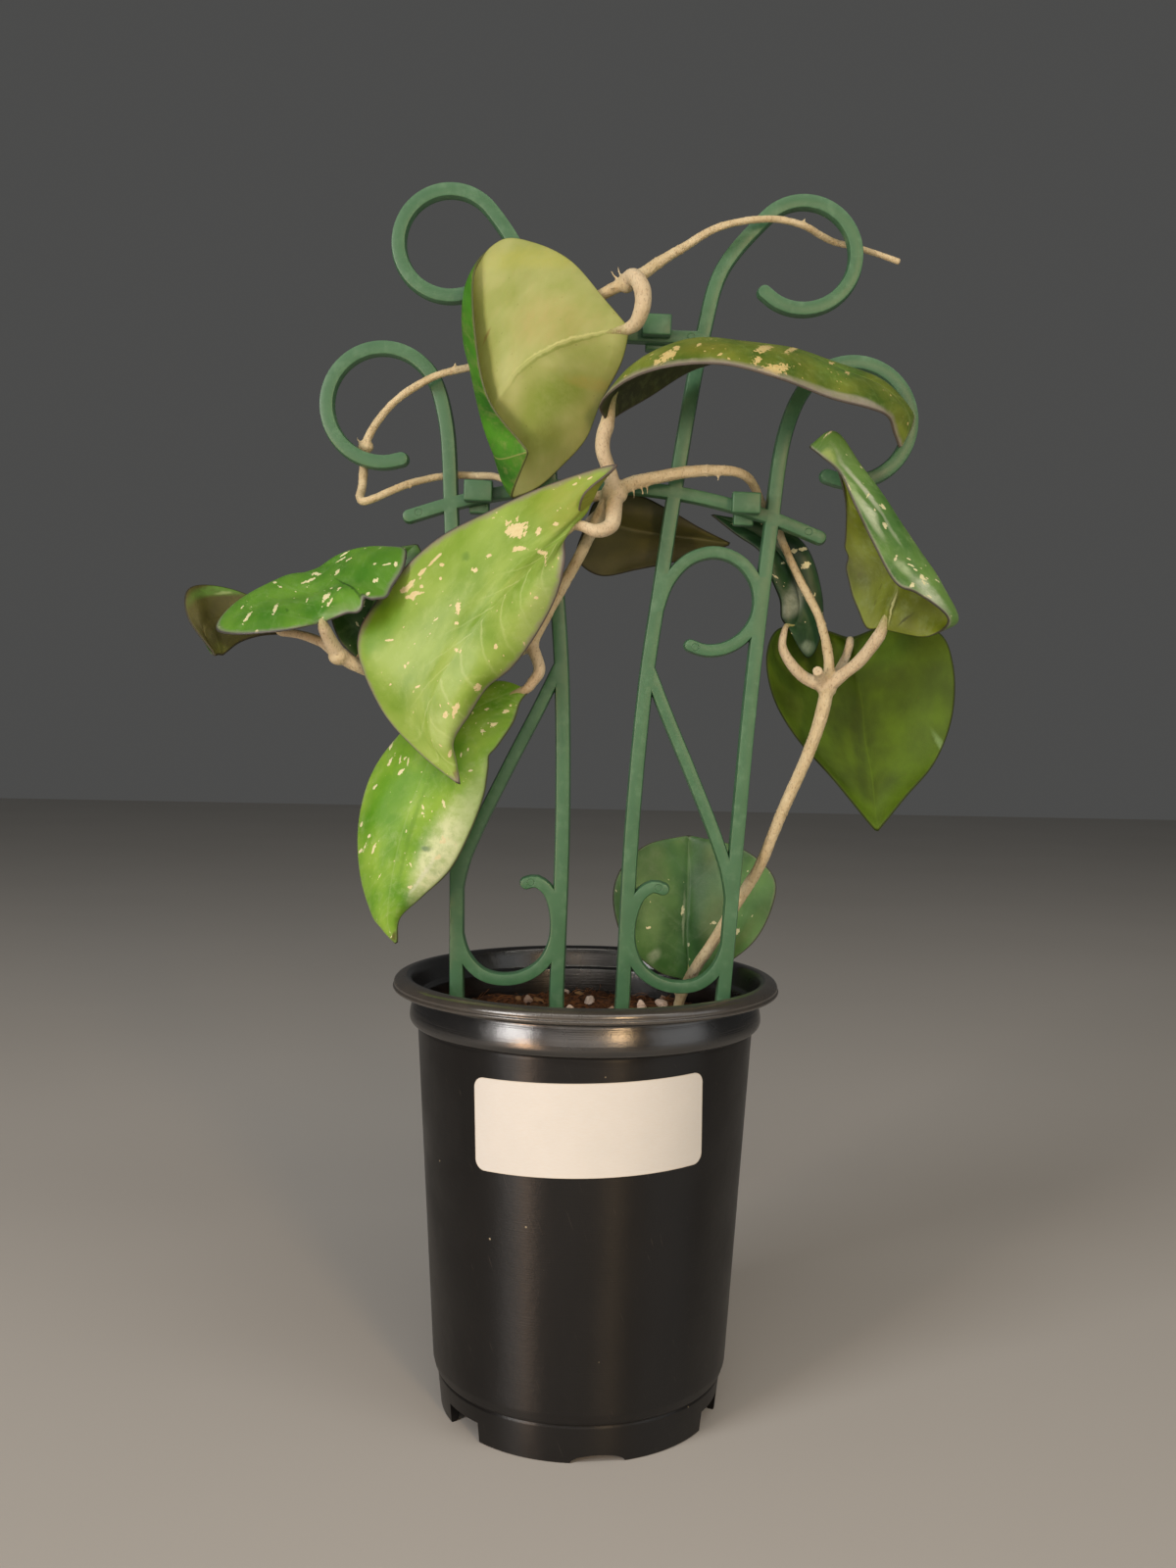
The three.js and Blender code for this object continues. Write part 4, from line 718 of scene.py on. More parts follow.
def loose_bits(name, dark, light, grain_mm, roughness):
    """Broken bark, fibre or white grain: each bit has its own tone, and a grain of its own size."""
    material, add = blank(name)
    place = millimetres(add)
    tone = add("Attribute", attribute_name="tone").outputs["Fac"]
    grain = add("TexNoise", Vector=place, Scale=1 / grain_mm, Detail=5.0, Roughness=0.65)
    mixed = add("Math", operation="MULTIPLY_ADD", i0=grain, i1=0.7, i2=tone)
    share = add("MapRange", Value=mixed, From_Min=0.2, From_Max=1.3)
    colour = add("Mix", data_type="RGBA", i0=share, i6=dark, i7=light)
    relief = add("Bump", Height=grain, Strength=0.6, Distance=0.0004)
    skin = add("BsdfPrincipled", Base_Color=colour, Roughness=roughness, Normal=relief, IOR=1.45)
    add("OutputMaterial", Surface=skin)
    return material


# Node trees for what repeats or follows a path
def geometry_tree(name, **inputs):
    """A tree with geometry in and out and the named inputs of these kinds, what adds a node to it, its
    group input, and the identifiers of the named inputs."""
    tree = bpy.data.node_groups.new(name, "GeometryNodeTree")
    tree.interface.new_socket("Geometry", in_out="INPUT", socket_type="NodeSocketGeometry")
    identifiers = {}
    for title, kind in inputs.items():
        socket = tree.interface.new_socket(title, in_out="INPUT", socket_type="NodeSocket" + kind)
        identifiers[title] = socket.identifier
    tree.interface.new_socket("Geometry", in_out="OUTPUT", socket_type="NodeSocketGeometry")
    add = partial(add_node, tree)
    return tree, add, add("NodeGroupInput"), identifiers


def scatter_tree(bits):
    """Nodes that strew bits over the soil's upward faces and join them to it."""
    tree, add, entry, inputs = geometry_tree("strewn soil", Reach="Float", Lowest="Float")
    place = add("GeometryNodeInputPosition")
    x, y, z = add("SeparateXYZ", Vector=place).outputs[:3]
    flat = add("CombineXYZ", X=x, Y=y)
    away = add("VectorMath", operation="DISTANCE", i0=flat, i1=(POT_AXIS_X * MM, 0, 0))
    near = add("Math", operation="LESS_THAN", i0=away, i1=entry.outputs["Reach"])
    high = add("Math", operation="GREATER_THAN", i0=z, i1=entry.outputs["Lowest"])
    open_top = add("FunctionNodeBooleanMath", operation="AND", i0=near, i1=high)
    joined = add("GeometryNodeJoinGeometry")
    for bit in bits:
        spots = add(
            "GeometryNodeDistributePointsOnFaces", distribute_method="RANDOM",
            Mesh=entry.outputs["Geometry"], Selection=open_top, Density=bit["density"], Seed=bit["seed"],
        )
        small, large = ([c * MM for c in bit[end]] for end in ("small", "large"))
        sizes = add(
            "FunctionNodeRandomValue", data_type="FLOAT_VECTOR", Seed=bit["seed"] + 1, i0=small, i1=large
        )
        tilt = bit["tilt"]
        turns = add(
            "FunctionNodeRandomValue", data_type="FLOAT_VECTOR", Seed=bit["seed"] + 2, i0=(-tilt, -tilt, 0),
            i1=(tilt, tilt, 2 * math.pi),
        )
        tones = add("FunctionNodeRandomValue", data_type="FLOAT", Seed=bit["seed"] + 3)
        if bit["shape"] == "fibre":
            path = add(
                "GeometryNodeCurveQuadraticBezier", Resolution=7, Start=(-0.5, 0, 0),
                Middle=(0.05, 0.5, 0.35), End=(0.5, -0.1, 0),
            )
            section = add("GeometryNodeCurvePrimitiveCircle", Resolution=4, Radius=0.014)
            form = add("GeometryNodeCurveToMesh", Curve=path, Profile_Curve=section, Fill_Caps=True)
        else:
            form = add("GeometryNodeMeshIcoSphere", Radius=0.5, Subdivisions=bit["fineness"])
        laid = add("GeometryNodeInstanceOnPoints", Points=spots, Instance=form, Rotation=turns, Scale=sizes)
        toned = add(
            "GeometryNodeStoreNamedAttribute", data_type="FLOAT", domain="INSTANCE", Geometry=laid,
            Name="tone", Value=tones,
        )
        real = add("GeometryNodeRealizeInstances", Geometry=toned)
        spot = add("GeometryNodeInputPosition")
        shaken = add(
            "TexNoise", noise_dimensions="3D", Vector=spot, Scale=bit["rough_scale"] / MM, Detail=1.0
        )
        middle = add("VectorMath", operation="SUBTRACT", i0=shaken.outputs["Color"], i1=(0.5, 0.5, 0.5))
        push = add("VectorMath", operation="SCALE", i0=middle, Scale=bit["rough"] * MM)
        broken = add("GeometryNodeSetPosition", Geometry=real, Offset=push)
        finished = add("GeometryNodeSetMaterial", Geometry=broken, Material=bit["material"])
        tree.links.new(finished.outputs[0], joined.inputs[0])
    tree.links.new(entry.outputs["Geometry"], joined.inputs[0])
    add("NodeGroupOutput", Geometry=joined)
    return tree, inputs


# Pot: blow-thin black plastic, turned from one profile, then slotted round its foot and drained
POT_HEIGHT = 125.4
RIM_RADIUS = 56
FOOT_RADIUS = 40.3
FOOT_HEIGHT = 10.7
WALL_RADIUS_LOW = 43
WALL_RADIUS_HIGH = 48.6
WALL_LOW_Z = 17
WALL_HIGH_Z = 110.5
WALL = 1.3
FLOOR_Z = 6
FLOOR_THICKNESS = 1.6
POT_STEPS = 192
FOOT_SLOT_WIDTH = 14
FOOT_SLOT_HEIGHT = 7
FOOT_SLOT_Z = 2.2
FOOT_CUT_DEPTH = 12
FOOT_ARCH_WIDTH = 15
FOOT_ARCH_HEIGHT = 2.4
FOOT_OPENINGS = 3
SLOT_TURN = math.radians(-52)
ARCH_TURN = math.radians(8)
DRAIN_RADIUS = 4
DRAIN_CIRCLE = 25
DRAIN_COUNT = 6
CORNER = 0.5


def wall_radius(z):
    t = (z - WALL_LOW_Z) / (WALL_HIGH_Z - WALL_LOW_Z)
    return WALL_RADIUS_LOW + (WALL_RADIUS_HIGH - WALL_RADIUS_LOW) * t


def pot_profile():
    """Radius and height from the middle of the underside, out, up and over the rim, and in to the floor."""
    shoulder = WALL_RADIUS_HIGH
    return [
        (0, FLOOR_Z),
        (FOOT_RADIUS - 3.4, FLOOR_Z),
        (FOOT_RADIUS - 2, 0),
        (FOOT_RADIUS, 0),
        (FOOT_RADIUS + 1.1, FOOT_HEIGHT - 0.6),
        (FOOT_RADIUS + 0.7, FOOT_HEIGHT),
        (WALL_RADIUS_LOW - 0.9, FOOT_HEIGHT + 1),
        (WALL_RADIUS_LOW - 0.2, FOOT_HEIGHT + 3.4),
        (WALL_RADIUS_LOW, WALL_LOW_Z),
        (shoulder, WALL_HIGH_Z),
        (shoulder - 0.1, WALL_HIGH_Z + 0.9),
        (shoulder + 1.2, WALL_HIGH_Z + 1.2),
        (shoulder + 2.1, WALL_HIGH_Z + 1.9),
        (shoulder + 2.45, WALL_HIGH_Z + 3),
        (shoulder + 2.35, WALL_HIGH_Z + 4.4),
        (shoulder + 2.05, WALL_HIGH_Z + 6),
        (shoulder + 1.6, WALL_HIGH_Z + 7.6),
        (shoulder + 1.15, WALL_HIGH_Z + 8.9),
        (shoulder + 1, POT_HEIGHT - 5.3),
        (shoulder + 2.6, POT_HEIGHT - 4.2),
        (RIM_RADIUS - 0.7, POT_HEIGHT - 3.9),
        (RIM_RADIUS - 0.1, POT_HEIGHT - 3.5),
        (RIM_RADIUS, POT_HEIGHT - 3),
        (RIM_RADIUS - 0.4, POT_HEIGHT - 2.6),
        (RIM_RADIUS - 0.4, POT_HEIGHT - 2.3),
        (RIM_RADIUS - 0.3, POT_HEIGHT - 2),
        (RIM_RADIUS - 0.5, POT_HEIGHT - 1.4),
        (RIM_RADIUS - 0.9, POT_HEIGHT - 0.9),
        (RIM_RADIUS - 1.6, POT_HEIGHT - 0.45),
        (RIM_RADIUS - 2.5, POT_HEIGHT - 0.12),
        (RIM_RADIUS - 3.5, POT_HEIGHT),
        (RIM_RADIUS - 4.5, POT_HEIGHT - 0.1),
        (RIM_RADIUS - 5.3, POT_HEIGHT - 0.7),
        (RIM_RADIUS - 5.9, POT_HEIGHT - 2.2),
        (shoulder + 0.4, POT_HEIGHT - 6.4),
        (shoulder - 0.9, POT_HEIGHT - 7),
        (shoulder - WALL, WALL_HIGH_Z),
        (WALL_RADIUS_LOW - WALL, WALL_LOW_Z),
        (WALL_RADIUS_LOW - WALL - 1, FLOOR_Z + FLOOR_THICKNESS + 2),
        (WALL_RADIUS_LOW - WALL - 3, FLOOR_Z + FLOOR_THICKNESS),
        (0, FLOOR_Z + FLOOR_THICKNESS),
    ]


def soften(profile, reach, steps=4):
    """The profile with each inner corner drawn as a short curve."""
    softened = [np.array(profile[0], float)]
    for before, corner, after in zip(profile, profile[1:], profile[2:]):
        corner = np.array(corner, float)
        back = np.array(before) - corner
        ahead = np.array(after) - corner
        cut = min(reach, 0.42 * np.linalg.norm(back), 0.42 * np.linalg.norm(ahead))
        start = corner + back / np.linalg.norm(back) * cut
        end = corner + ahead / np.linalg.norm(ahead) * cut
        for k in range(steps + 1):
            w = k / steps
            softened.append((1 - w) ** 2 * start + 2 * w * (1 - w) * corner + w * w * end)
    softened.append(np.array(profile[-1], float))
    return softened


def turned(name, profile, steps):
    """A closed turned shape: the profile runs from the axis to the axis."""
    angles = np.arange(steps) * 2 * math.pi / steps
    points = [(r * math.sin(a), -r * math.cos(a), z) for r, z in profile for a in angles]
    faces = []
    for i in range(len(profile) - 1):
        for j in range(steps):
            k = (j + 1) % steps
            faces.append((i * steps + j, i * steps + k, (i + 1) * steps + k, (i + 1) * steps + j))
    piece = make_piece(name, points, faces)
    close_up(piece)
    return piece


def cutter(shape, size, place, turn):
    """A box or an upright or lying round bar, moved out from the axis and turned about it."""
    work = bmesh.new()
    if shape == "box":
        bmesh.ops.create_cube(work, size=1)
    else:
        bmesh.ops.create_cone(work, cap_ends=True, segments=48, radius1=0.5, radius2=0.5, depth=1)
        if shape == "lying bar":
            laid = Matrix.Rotation(math.pi / 2, 3, "X")
            bmesh.ops.rotate(work, verts=work.verts, cent=(0, 0, 0), matrix=laid)
    bmesh.ops.scale(work, verts=work.verts, vec=size)
    bmesh.ops.translate(work, verts=work.verts, vec=place)
    bmesh.ops.rotate(work, verts=work.verts, cent=(0, 0, 0), matrix=Matrix.Rotation(turn, 3, "Z"))
    bmesh.ops.translate(work, verts=work.verts, vec=(POT_AXIS_X, 0, 0))
    bmesh.ops.scale(work, verts=work.verts, vec=(MM, MM, MM))
    mesh = bpy.data.meshes.new("cutter")
    work.to_mesh(mesh)
    work.free()
    piece = bpy.data.objects.new("cutter", mesh)
    bpy.context.scene.collection.objects.link(piece)
    return piece


pot = turned("thin_black_pot", soften(pot_profile(), CORNER), POT_STEPS)
pot_cutters = []
slot_size = (FOOT_SLOT_WIDTH, FOOT_CUT_DEPTH, FOOT_SLOT_HEIGHT)
arch_size = (FOOT_ARCH_WIDTH, FOOT_CUT_DEPTH, 2 * FOOT_ARCH_HEIGHT)
hole_size = (2 * DRAIN_RADIUS, 2 * DRAIN_RADIUS, 8)
for k in range(FOOT_OPENINGS):
    third = 2 * math.pi * k / FOOT_OPENINGS
    pot_cutters.append(cutter("box", slot_size, (0, -FOOT_RADIUS, FOOT_SLOT_Z), third + SLOT_TURN))
    pot_cutters.append(cutter("lying bar", arch_size, (0, -FOOT_RADIUS, 0), third + ARCH_TURN))
for k in range(DRAIN_COUNT):
    turn = 2 * math.pi * k / DRAIN_COUNT
    pot_cutters.append(cutter("upright bar", hole_size, (0, -DRAIN_CIRCLE, FLOOR_Z), turn))
combine(pot, pot_cutters, "DIFFERENCE")
shade(pot, 38)

# Label: a paper sticker with round corners, laid round the wall a little turned
LABEL_HEIGHT = 25.4
LABEL_LENGTH = 65.5
LABEL_BOTTOM_Z = 79.6
LABEL_AZIMUTH = math.radians(2.3)
LABEL_TILT = math.radians(1.8)
LABEL_CORNER = 3
LABEL_THICKNESS = 0.2
LABEL_GAP = 0.12
LABEL_COLUMNS = 120
LABEL_ROWS = 24


def make_label():
    half = LABEL_LENGTH / 2
    middle = LABEL_BOTTOM_Z + LABEL_HEIGHT / 2

    def place(s, t, lift):
        along = s * math.cos(LABEL_TILT) - t * math.sin(LABEL_TILT)
        z = middle + s * math.sin(LABEL_TILT) + t * math.cos(LABEL_TILT)
        radius = wall_radius(z) + LABEL_GAP + lift
        angle = LABEL_AZIMUTH + along / wall_radius(z)
        return (radius * math.sin(angle), -radius * math.cos(angle), z)

    points = []
    spots = []
    for lift in (LABEL_THICKNESS, 0):
        for i in range(LABEL_COLUMNS + 1):
            s = -half * math.cos(math.pi * i / LABEL_COLUMNS)
            in_corner = max(0, abs(s) - (half - LABEL_CORNER))
            drop = LABEL_CORNER - math.sqrt(max(0, LABEL_CORNER**2 - in_corner**2))
            reach = LABEL_HEIGHT / 2 - drop
            for j in range(LABEL_ROWS + 1):
                t = reach * (2 * j / LABEL_ROWS - 1)
                points.append(place(s, t, lift))
                spots.append((s, t, min(half - abs(s), reach - abs(t))))
    piece = make_piece("paper_sticker", points, plate_faces(LABEL_COLUMNS + 1, LABEL_ROWS + 1))
    store(piece, "sticker", spots)
    return piece


def plate_faces(rows, columns):
    """Faces of two equal grids of points, joined round their edges into one closed plate."""
    side = rows * columns
    faces = []
    for i in range(rows - 1):
        for j in range(columns - 1):
            a = i * columns + j
            faces.append((a, a + 1, a + columns + 1, a + columns))
            faces.append((side + a, side + a + columns, side + a + columns + 1, side + a + 1))
    rim = list(range(columns - 1))
    rim += [i * columns + columns - 1 for i in range(rows - 1)]
    rim += [(rows - 1) * columns + j for j in range(columns - 1, 0, -1)]
    rim += [i * columns for i in range(rows - 1, 0, -1)]
    for a, b in zip(rim, rim[1:] + rim[:1]):
        faces.append((a, side + a, side + b, b))
    return faces


label = make_label()
close_up(label)
shade(label, 50)

# Trellis: flat moulded bars with round ends, drawn in their own X and Z, then leaned
BAR_WIDTH = 4.5
BAR_DEPTH = 3
BAR_DRAFT = 0.35
SCROLL_WIDTH = 4
CROSSBAR_WIDTH = 4.3
TRELLIS_BASE = (1.2, 117)
TRELLIS_LEAN = math.radians(1.5)
LEG_BOTTOM_Z = 42
LEG_XS = (9.7, 39)
CLIP_WIDTH = 8.2
CLIP_HEIGHT = 6
CLIP_REACH = 4
BAR_STEP = 1.6
ROUND_STEPS = 14
EJECTOR_RADIUS = 1
EJECTOR_GROOVE = 0.16
RING_STEPS = 32
RING_SIDES = 8

# Centre and radius of each curl and the angle where it ends. The plastic has sprung, so the sides differ.
RIGHT_CURLS = {"top": (51.6, 335, 15.2, -134), "side": (68.1, 288.4, 17, -112)}
LEFT_CURLS = {"top": (49.5, 334, 15, -130), "side": (67.1, 287.2, 16.3, -111)}
INNER_LEG = [(9.7, 117), (10.2, 170), (12.3, 212), (15, 238), (18, 266), (24, 311), (28.6, 330)]
OUTER_LEG = [(39, 117), (41, 168), (43, 211), (46.2, 256), (49, 284), (53.2, 296)]
LOWER_SCROLL = [
    (20, 151), (17.2, 151.6), (13.4, 149), (10.9, 142), (11, 134), (14, 127.6), (19.5, 123.6), (26, 122.4),
    (32, 123.8), (36.9, 128.5), (39.6, 136), (40.2, 146), (38.6, 156), (35.4, 165), (27, 184), (18.6, 202),
    (13.3, 214),
]
UPPER_SCROLL = [
    (14, 230), (17.4, 240.5), (23, 247), (30.6, 249.4), (38, 247), (43, 240.5), (43.6, 232), (40, 225.4),
    (34.5, 221.8), (29, 221), (24.6, 222.2),
]
EJECTOR_MARKS = [
    (18.6, 151.4), (-18.6, 151.4), (26, 221.7), (-26, 221.7), (20.5, 310.2), (-20.5, 310.2), (57, 256.3),
    (-55.5, 256.8), (0, 267),
]
CROSSBAR_XS = (-58.3, -46.3, -33.4, -18.6, 0, 18.6, 33.4, 46.3, 60.4)


def arc(centre_x, centre_z, radius, start, end, count):
    angles = np.radians(np.linspace(start, end, count + 1))
    return [(centre_x + radius * math.cos(a), centre_z + radius * math.sin(a)) for a in angles]


def crossbar_height(x):
    return 267 - 0.0033 * x * x


def lean(points):
    """Turns trellis points about the foot of its middle."""
    x = points[:, 0]
    z = points[:, 2] - TRELLIS_BASE[1]
    leaned = points.copy()
    leaned[:, 0] = x * math.cos(TRELLIS_LEAN) + z * math.sin(TRELLIS_LEAN) + TRELLIS_BASE[0]
    leaned[:, 2] = z * math.cos(TRELLIS_LEAN) - x * math.sin(TRELLIS_LEAN) + TRELLIS_BASE[1]
    return leaned


def bar(centre_line, width, mirror=1):
    """A bar along the line, with round ends, faces a little drawn in and softened edges."""
    line, _ = run_along([(x, 0, z) for x, z in centre_line], BAR_STEP)
    ahead = np.gradient(line, axis=0)
    ahead /= np.linalg.norm(ahead, axis=1)[:, None]
    side = np.stack([-ahead[:, 2], np.zeros(len(line)), ahead[:, 0]], 1)
    half = width / 2
    levels = [
        (-BAR_DEPTH / 2, half - BAR_DRAFT - 0.35),
        (-BAR_DEPTH / 2 + 0.1, half - BAR_DRAFT - 0.1),
        (-BAR_DEPTH / 2 + 0.34, half - BAR_DRAFT),
        (BAR_DEPTH / 2 - 0.3, half),
        (BAR_DEPTH / 2 - 0.08, half - 0.08),
        (BAR_DEPTH / 2, half - 0.3),
    ]
    turns = np.linspace(0, math.pi, ROUND_STEPS + 1)[1:-1]

    def loop(reach, depth):
        left = line + side * reach
        right = line - side * reach
        far = [line[-1] + side[-1] * reach * math.cos(a) + ahead[-1] * reach * math.sin(a) for a in turns]
        near = [line[0] - side[0] * reach * math.cos(a) - ahead[0] * reach * math.sin(a) for a in turns]
        outline = np.vstack([left, far, right[::-1], near])
        outline[:, 1] = depth
        return outline

    loops = [loop(reach, depth) for depth, reach in levels]
    size = len(loops[0])
    count = len(line)
    faces = []
    for level in range(len(levels) - 1):
        for j in range(size):
            k = (j + 1) % size
            a = level * size
            faces.append((a + j, a + k, a + size + k, a + size + j))
    ends = len(turns)
    for top in (0, (len(levels) - 1) * size):
        for j in range(count - 1):
            right = count + ends + (count - 1 - j)
            faces.append((top + j, top + j + 1, top + right - 1, top + right))
        faces.append([top + j for j in range(count - 1, count + ends + 1)])
        faces.append([top + j for j in range(2 * count + ends - 1, size)] + [top])
    points = lean(np.vstack(loops) * (mirror, 1, 1))
    piece = make_piece("bar", points, faces)
    close_up(piece)
    return piece


def clip_block(x, depth, z, width, height, mirror):
    """A softened block of the sockets where a leg snaps on to a crossbar."""
    work = bmesh.new()
    bmesh.ops.create_cube(work, size=1)
    bmesh.ops.scale(work, verts=work.verts, vec=(width, CLIP_REACH, height))
    bmesh.ops.bevel(work, geom=work.edges, offset=0.5, segments=3, affect="EDGES", profile=0.5)
    bmesh.ops.translate(work, verts=work.verts, vec=(x * mirror, depth, z))
    points = lean(np.array([v.co for v in work.verts]))
    faces = [[v.index for v in f.verts] for f in work.faces]
    work.free()
    piece = make_piece("clip", points, faces)
    close_up(piece)
    return piece


def ring_groove(x, z):
    """The ring that an ejector pin leaves on the front of a bar."""
    section = np.arange(RING_SIDES) * 2 * math.pi / RING_SIDES
    points = []
    faces = []
    for i in range(RING_STEPS):
        a = 2 * math.pi * i / RING_STEPS
        for b in section:
            reach = EJECTOR_RADIUS + EJECTOR_GROOVE * math.cos(b)
            depth = -BAR_DEPTH / 2 + EJECTOR_GROOVE * math.sin(b)
            points.append((x + reach * math.cos(a), depth, z + reach * math.sin(a)))
        for j in range(RING_SIDES):
            k = (j + 1) % RING_SIDES
            on = (i + 1) % RING_STEPS * RING_SIDES
            faces.append((i * RING_SIDES + j, on + j, on + k, i * RING_SIDES + k))
    piece = make_piece("ring", lean(np.array(points)), faces)
    close_up(piece)
    return piece


def make_trellis():
    parts = []
    for mirror, curls in ((1, RIGHT_CURLS), (-1, LEFT_CURLS)):
        top = arc(*curls["top"][:3], 140, curls["top"][3], 17)
        side = arc(*curls["side"][:3], 125, curls["side"][3], 16)
        parts.append(bar(INNER_LEG + top, BAR_WIDTH, mirror))
        parts.append(bar(OUTER_LEG + side, BAR_WIDTH, mirror))
        parts.append(bar(LOWER_SCROLL, SCROLL_WIDTH, mirror))
        parts.append(bar(UPPER_SCROLL, SCROLL_WIDTH, mirror))
        for x in LEG_XS:
            foot = x - 3
            parts.append(bar([(x, 118), (foot, LEG_BOTTOM_Z + 8)], BAR_WIDTH, mirror))
            parts.append(bar([(foot + 0.3, LEG_BOTTOM_Z + 9), (foot, LEG_BOTTOM_Z + 1.2)], 2.4, mirror))
        front = -(BAR_DEPTH + CLIP_REACH) / 2 + 0.2
        for x, z in ((38.4, crossbar_height(38.4) + 0.2), (10.5, 311.4)):
            parts.append(clip_block(x, front, z + 1, CLIP_WIDTH, CLIP_HEIGHT, mirror))
            parts.append(clip_block(x, -front, z - 1.6, CLIP_WIDTH * 0.7, CLIP_HEIGHT, mirror))
    parts.append(bar([(x, crossbar_height(x)) for x in CROSSBAR_XS], CROSSBAR_WIDTH))
    parts.append(bar([(-24, 310.2), (24, 310.2)], CROSSBAR_WIDTH))
    first = parts[0]
    combine(first, parts[1:], "UNION")
    combine(first, [ring_groove(x, z) for x, z in EJECTOR_MARKS], "DIFFERENCE")
    first.name = "moulded_trellis"
    return first


trellis = make_trellis()
shade(trellis, 42)

# Vine: stems, leaf stalks, joints and short aerial roots, as in the part's source
STEMS = [
    # from the soil to the first joint, behind the trellis
    {
        "path": [
            (28, 24, 98), (28.6, 23.2, 110), (29.8, 21.4, 116), (33.3, 17, 124.4), (37.8, 14, 132.3),
            (42, 12, 140.2), (46.8, 10, 148.9), (51.2, 8.5, 157.1), (57.2, 7, 173.1), (63.7, 6.2, 188.9),
            (67.7, 6, 200.7), (69.6, 6, 210.5),
        ],
        "radii": [1.5, 1.7, 1.7, 1.7, 1.8, 2.1],
    },
    # on to the second joint, through the gap beside the right clip
    {
        "path": [
            (69.6, 6, 210.5), (69.9, 6, 216.5), (69, 6, 223), (66.1, 6, 232), (61.1, 6, 241),
            (56.2, 6.5, 251), (53.2, 6.5, 258), (49.5, 6, 263), (46.2, 1, 267.6), (43.2, -4.6, 269.6),
            (39.5, -7, 270.6), (34, -7, 270.8), (26, -6.6, 270.2), (17.5, -7, 268.5), (10.5, -8, 266.5),
            (5.5, -9, 264),
        ],
        "radii": [1.8, 1.35, 1.25, 1.2, 1.2, 1.3, 1.6, 1.8, 2.2],
    },
    # down to the third and fourth joints, in front of the trellis
    {
        "path": [
            (5.5, -9, 264), (1.5, -8, 257.5), (-1.5, -8, 251), (-5.5, -7.5, 243), (-10.5, -6.4, 234),
            (-15, -6.2, 225.5), (-17.5, -7, 220.5),
        ],
        "radii": [2.2, 1.7, 1.6, 1.6, 1.8],
    },
    {
        "path": [
            (-17.5, -7, 220.5), (-23.5, -5.4, 217.5), (-35, -4.6, 214), (-46, -4.6, 211.5), (-57, -6, 211),
            (-64, -8.5, 212.5), (-71.5, -12, 216.5),
        ],
        "radii": [1.8, 1.5, 1.5, 1.6, 2.1],
    },
    # thin climbing stem, sharply bent on the left, up to the top joint
    {
        "path": [
            (5.5, -9, 264), (-2, -5.5, 262.5), (-10.5, -4, 263), (-19, -4, 265), (-23.5, -3.8, 266.6),
            (-27, -2.8, 268.2), (-30.4, 0.8, 269.4), (-34, 3.4, 269.8), (-38, 3.8, 270), (-44, 3.8, 269.6),
            (-48.5, 2, 268.4), (-53, -1, 266.6), (-58, -3, 264.2), (-62.4, -4.2, 261.8), (-66, -4.4, 260.6),
            (-67.4, -2.4, 261.9), (-67.5, 1.6, 265.6), (-67.5, 4, 270.5), (-67.3, 4.2, 277.5),
            (-65.6, 3.4, 281.5), (-62, 1, 286), (-57, -2, 290.3), (-51.5, -4, 293.6), (-44.5, -4.5, 297),
            (-36.5, -4.5, 299), (-29, -4.6, 301.5), (-19.5, -5.4, 305.5), (-10, -8.4, 312),
            (-1.5, -9, 317.5), (7.5, -10, 322),
        ],
        "radii": [1.5, 1.1, 1.1, 1.1, 1.15, 1.3, 1.1, 1.1, 1.1, 1.3, 1.8],
    },
    # growing tip, over the right-hand top curl
    {
        "path": [
            (7.5, -10, 322), (12, -9.4, 324.5), (16.5, -8.4, 328), (24.5, -7, 333.5), (32.5, -6.5, 338.5),
            (41, -6, 341), (49.5, -5, 342), (58, -3.2, 341), (63.5, 0.5, 339.6), (68, 4, 339),
            (75, 5, 337.8), (82, 4.4, 335.5), (87, 3.4, 333.4),
        ],
        "radii": [2, 1.4, 1.1, 1, 1, 0.9, 0.9],
    },
]
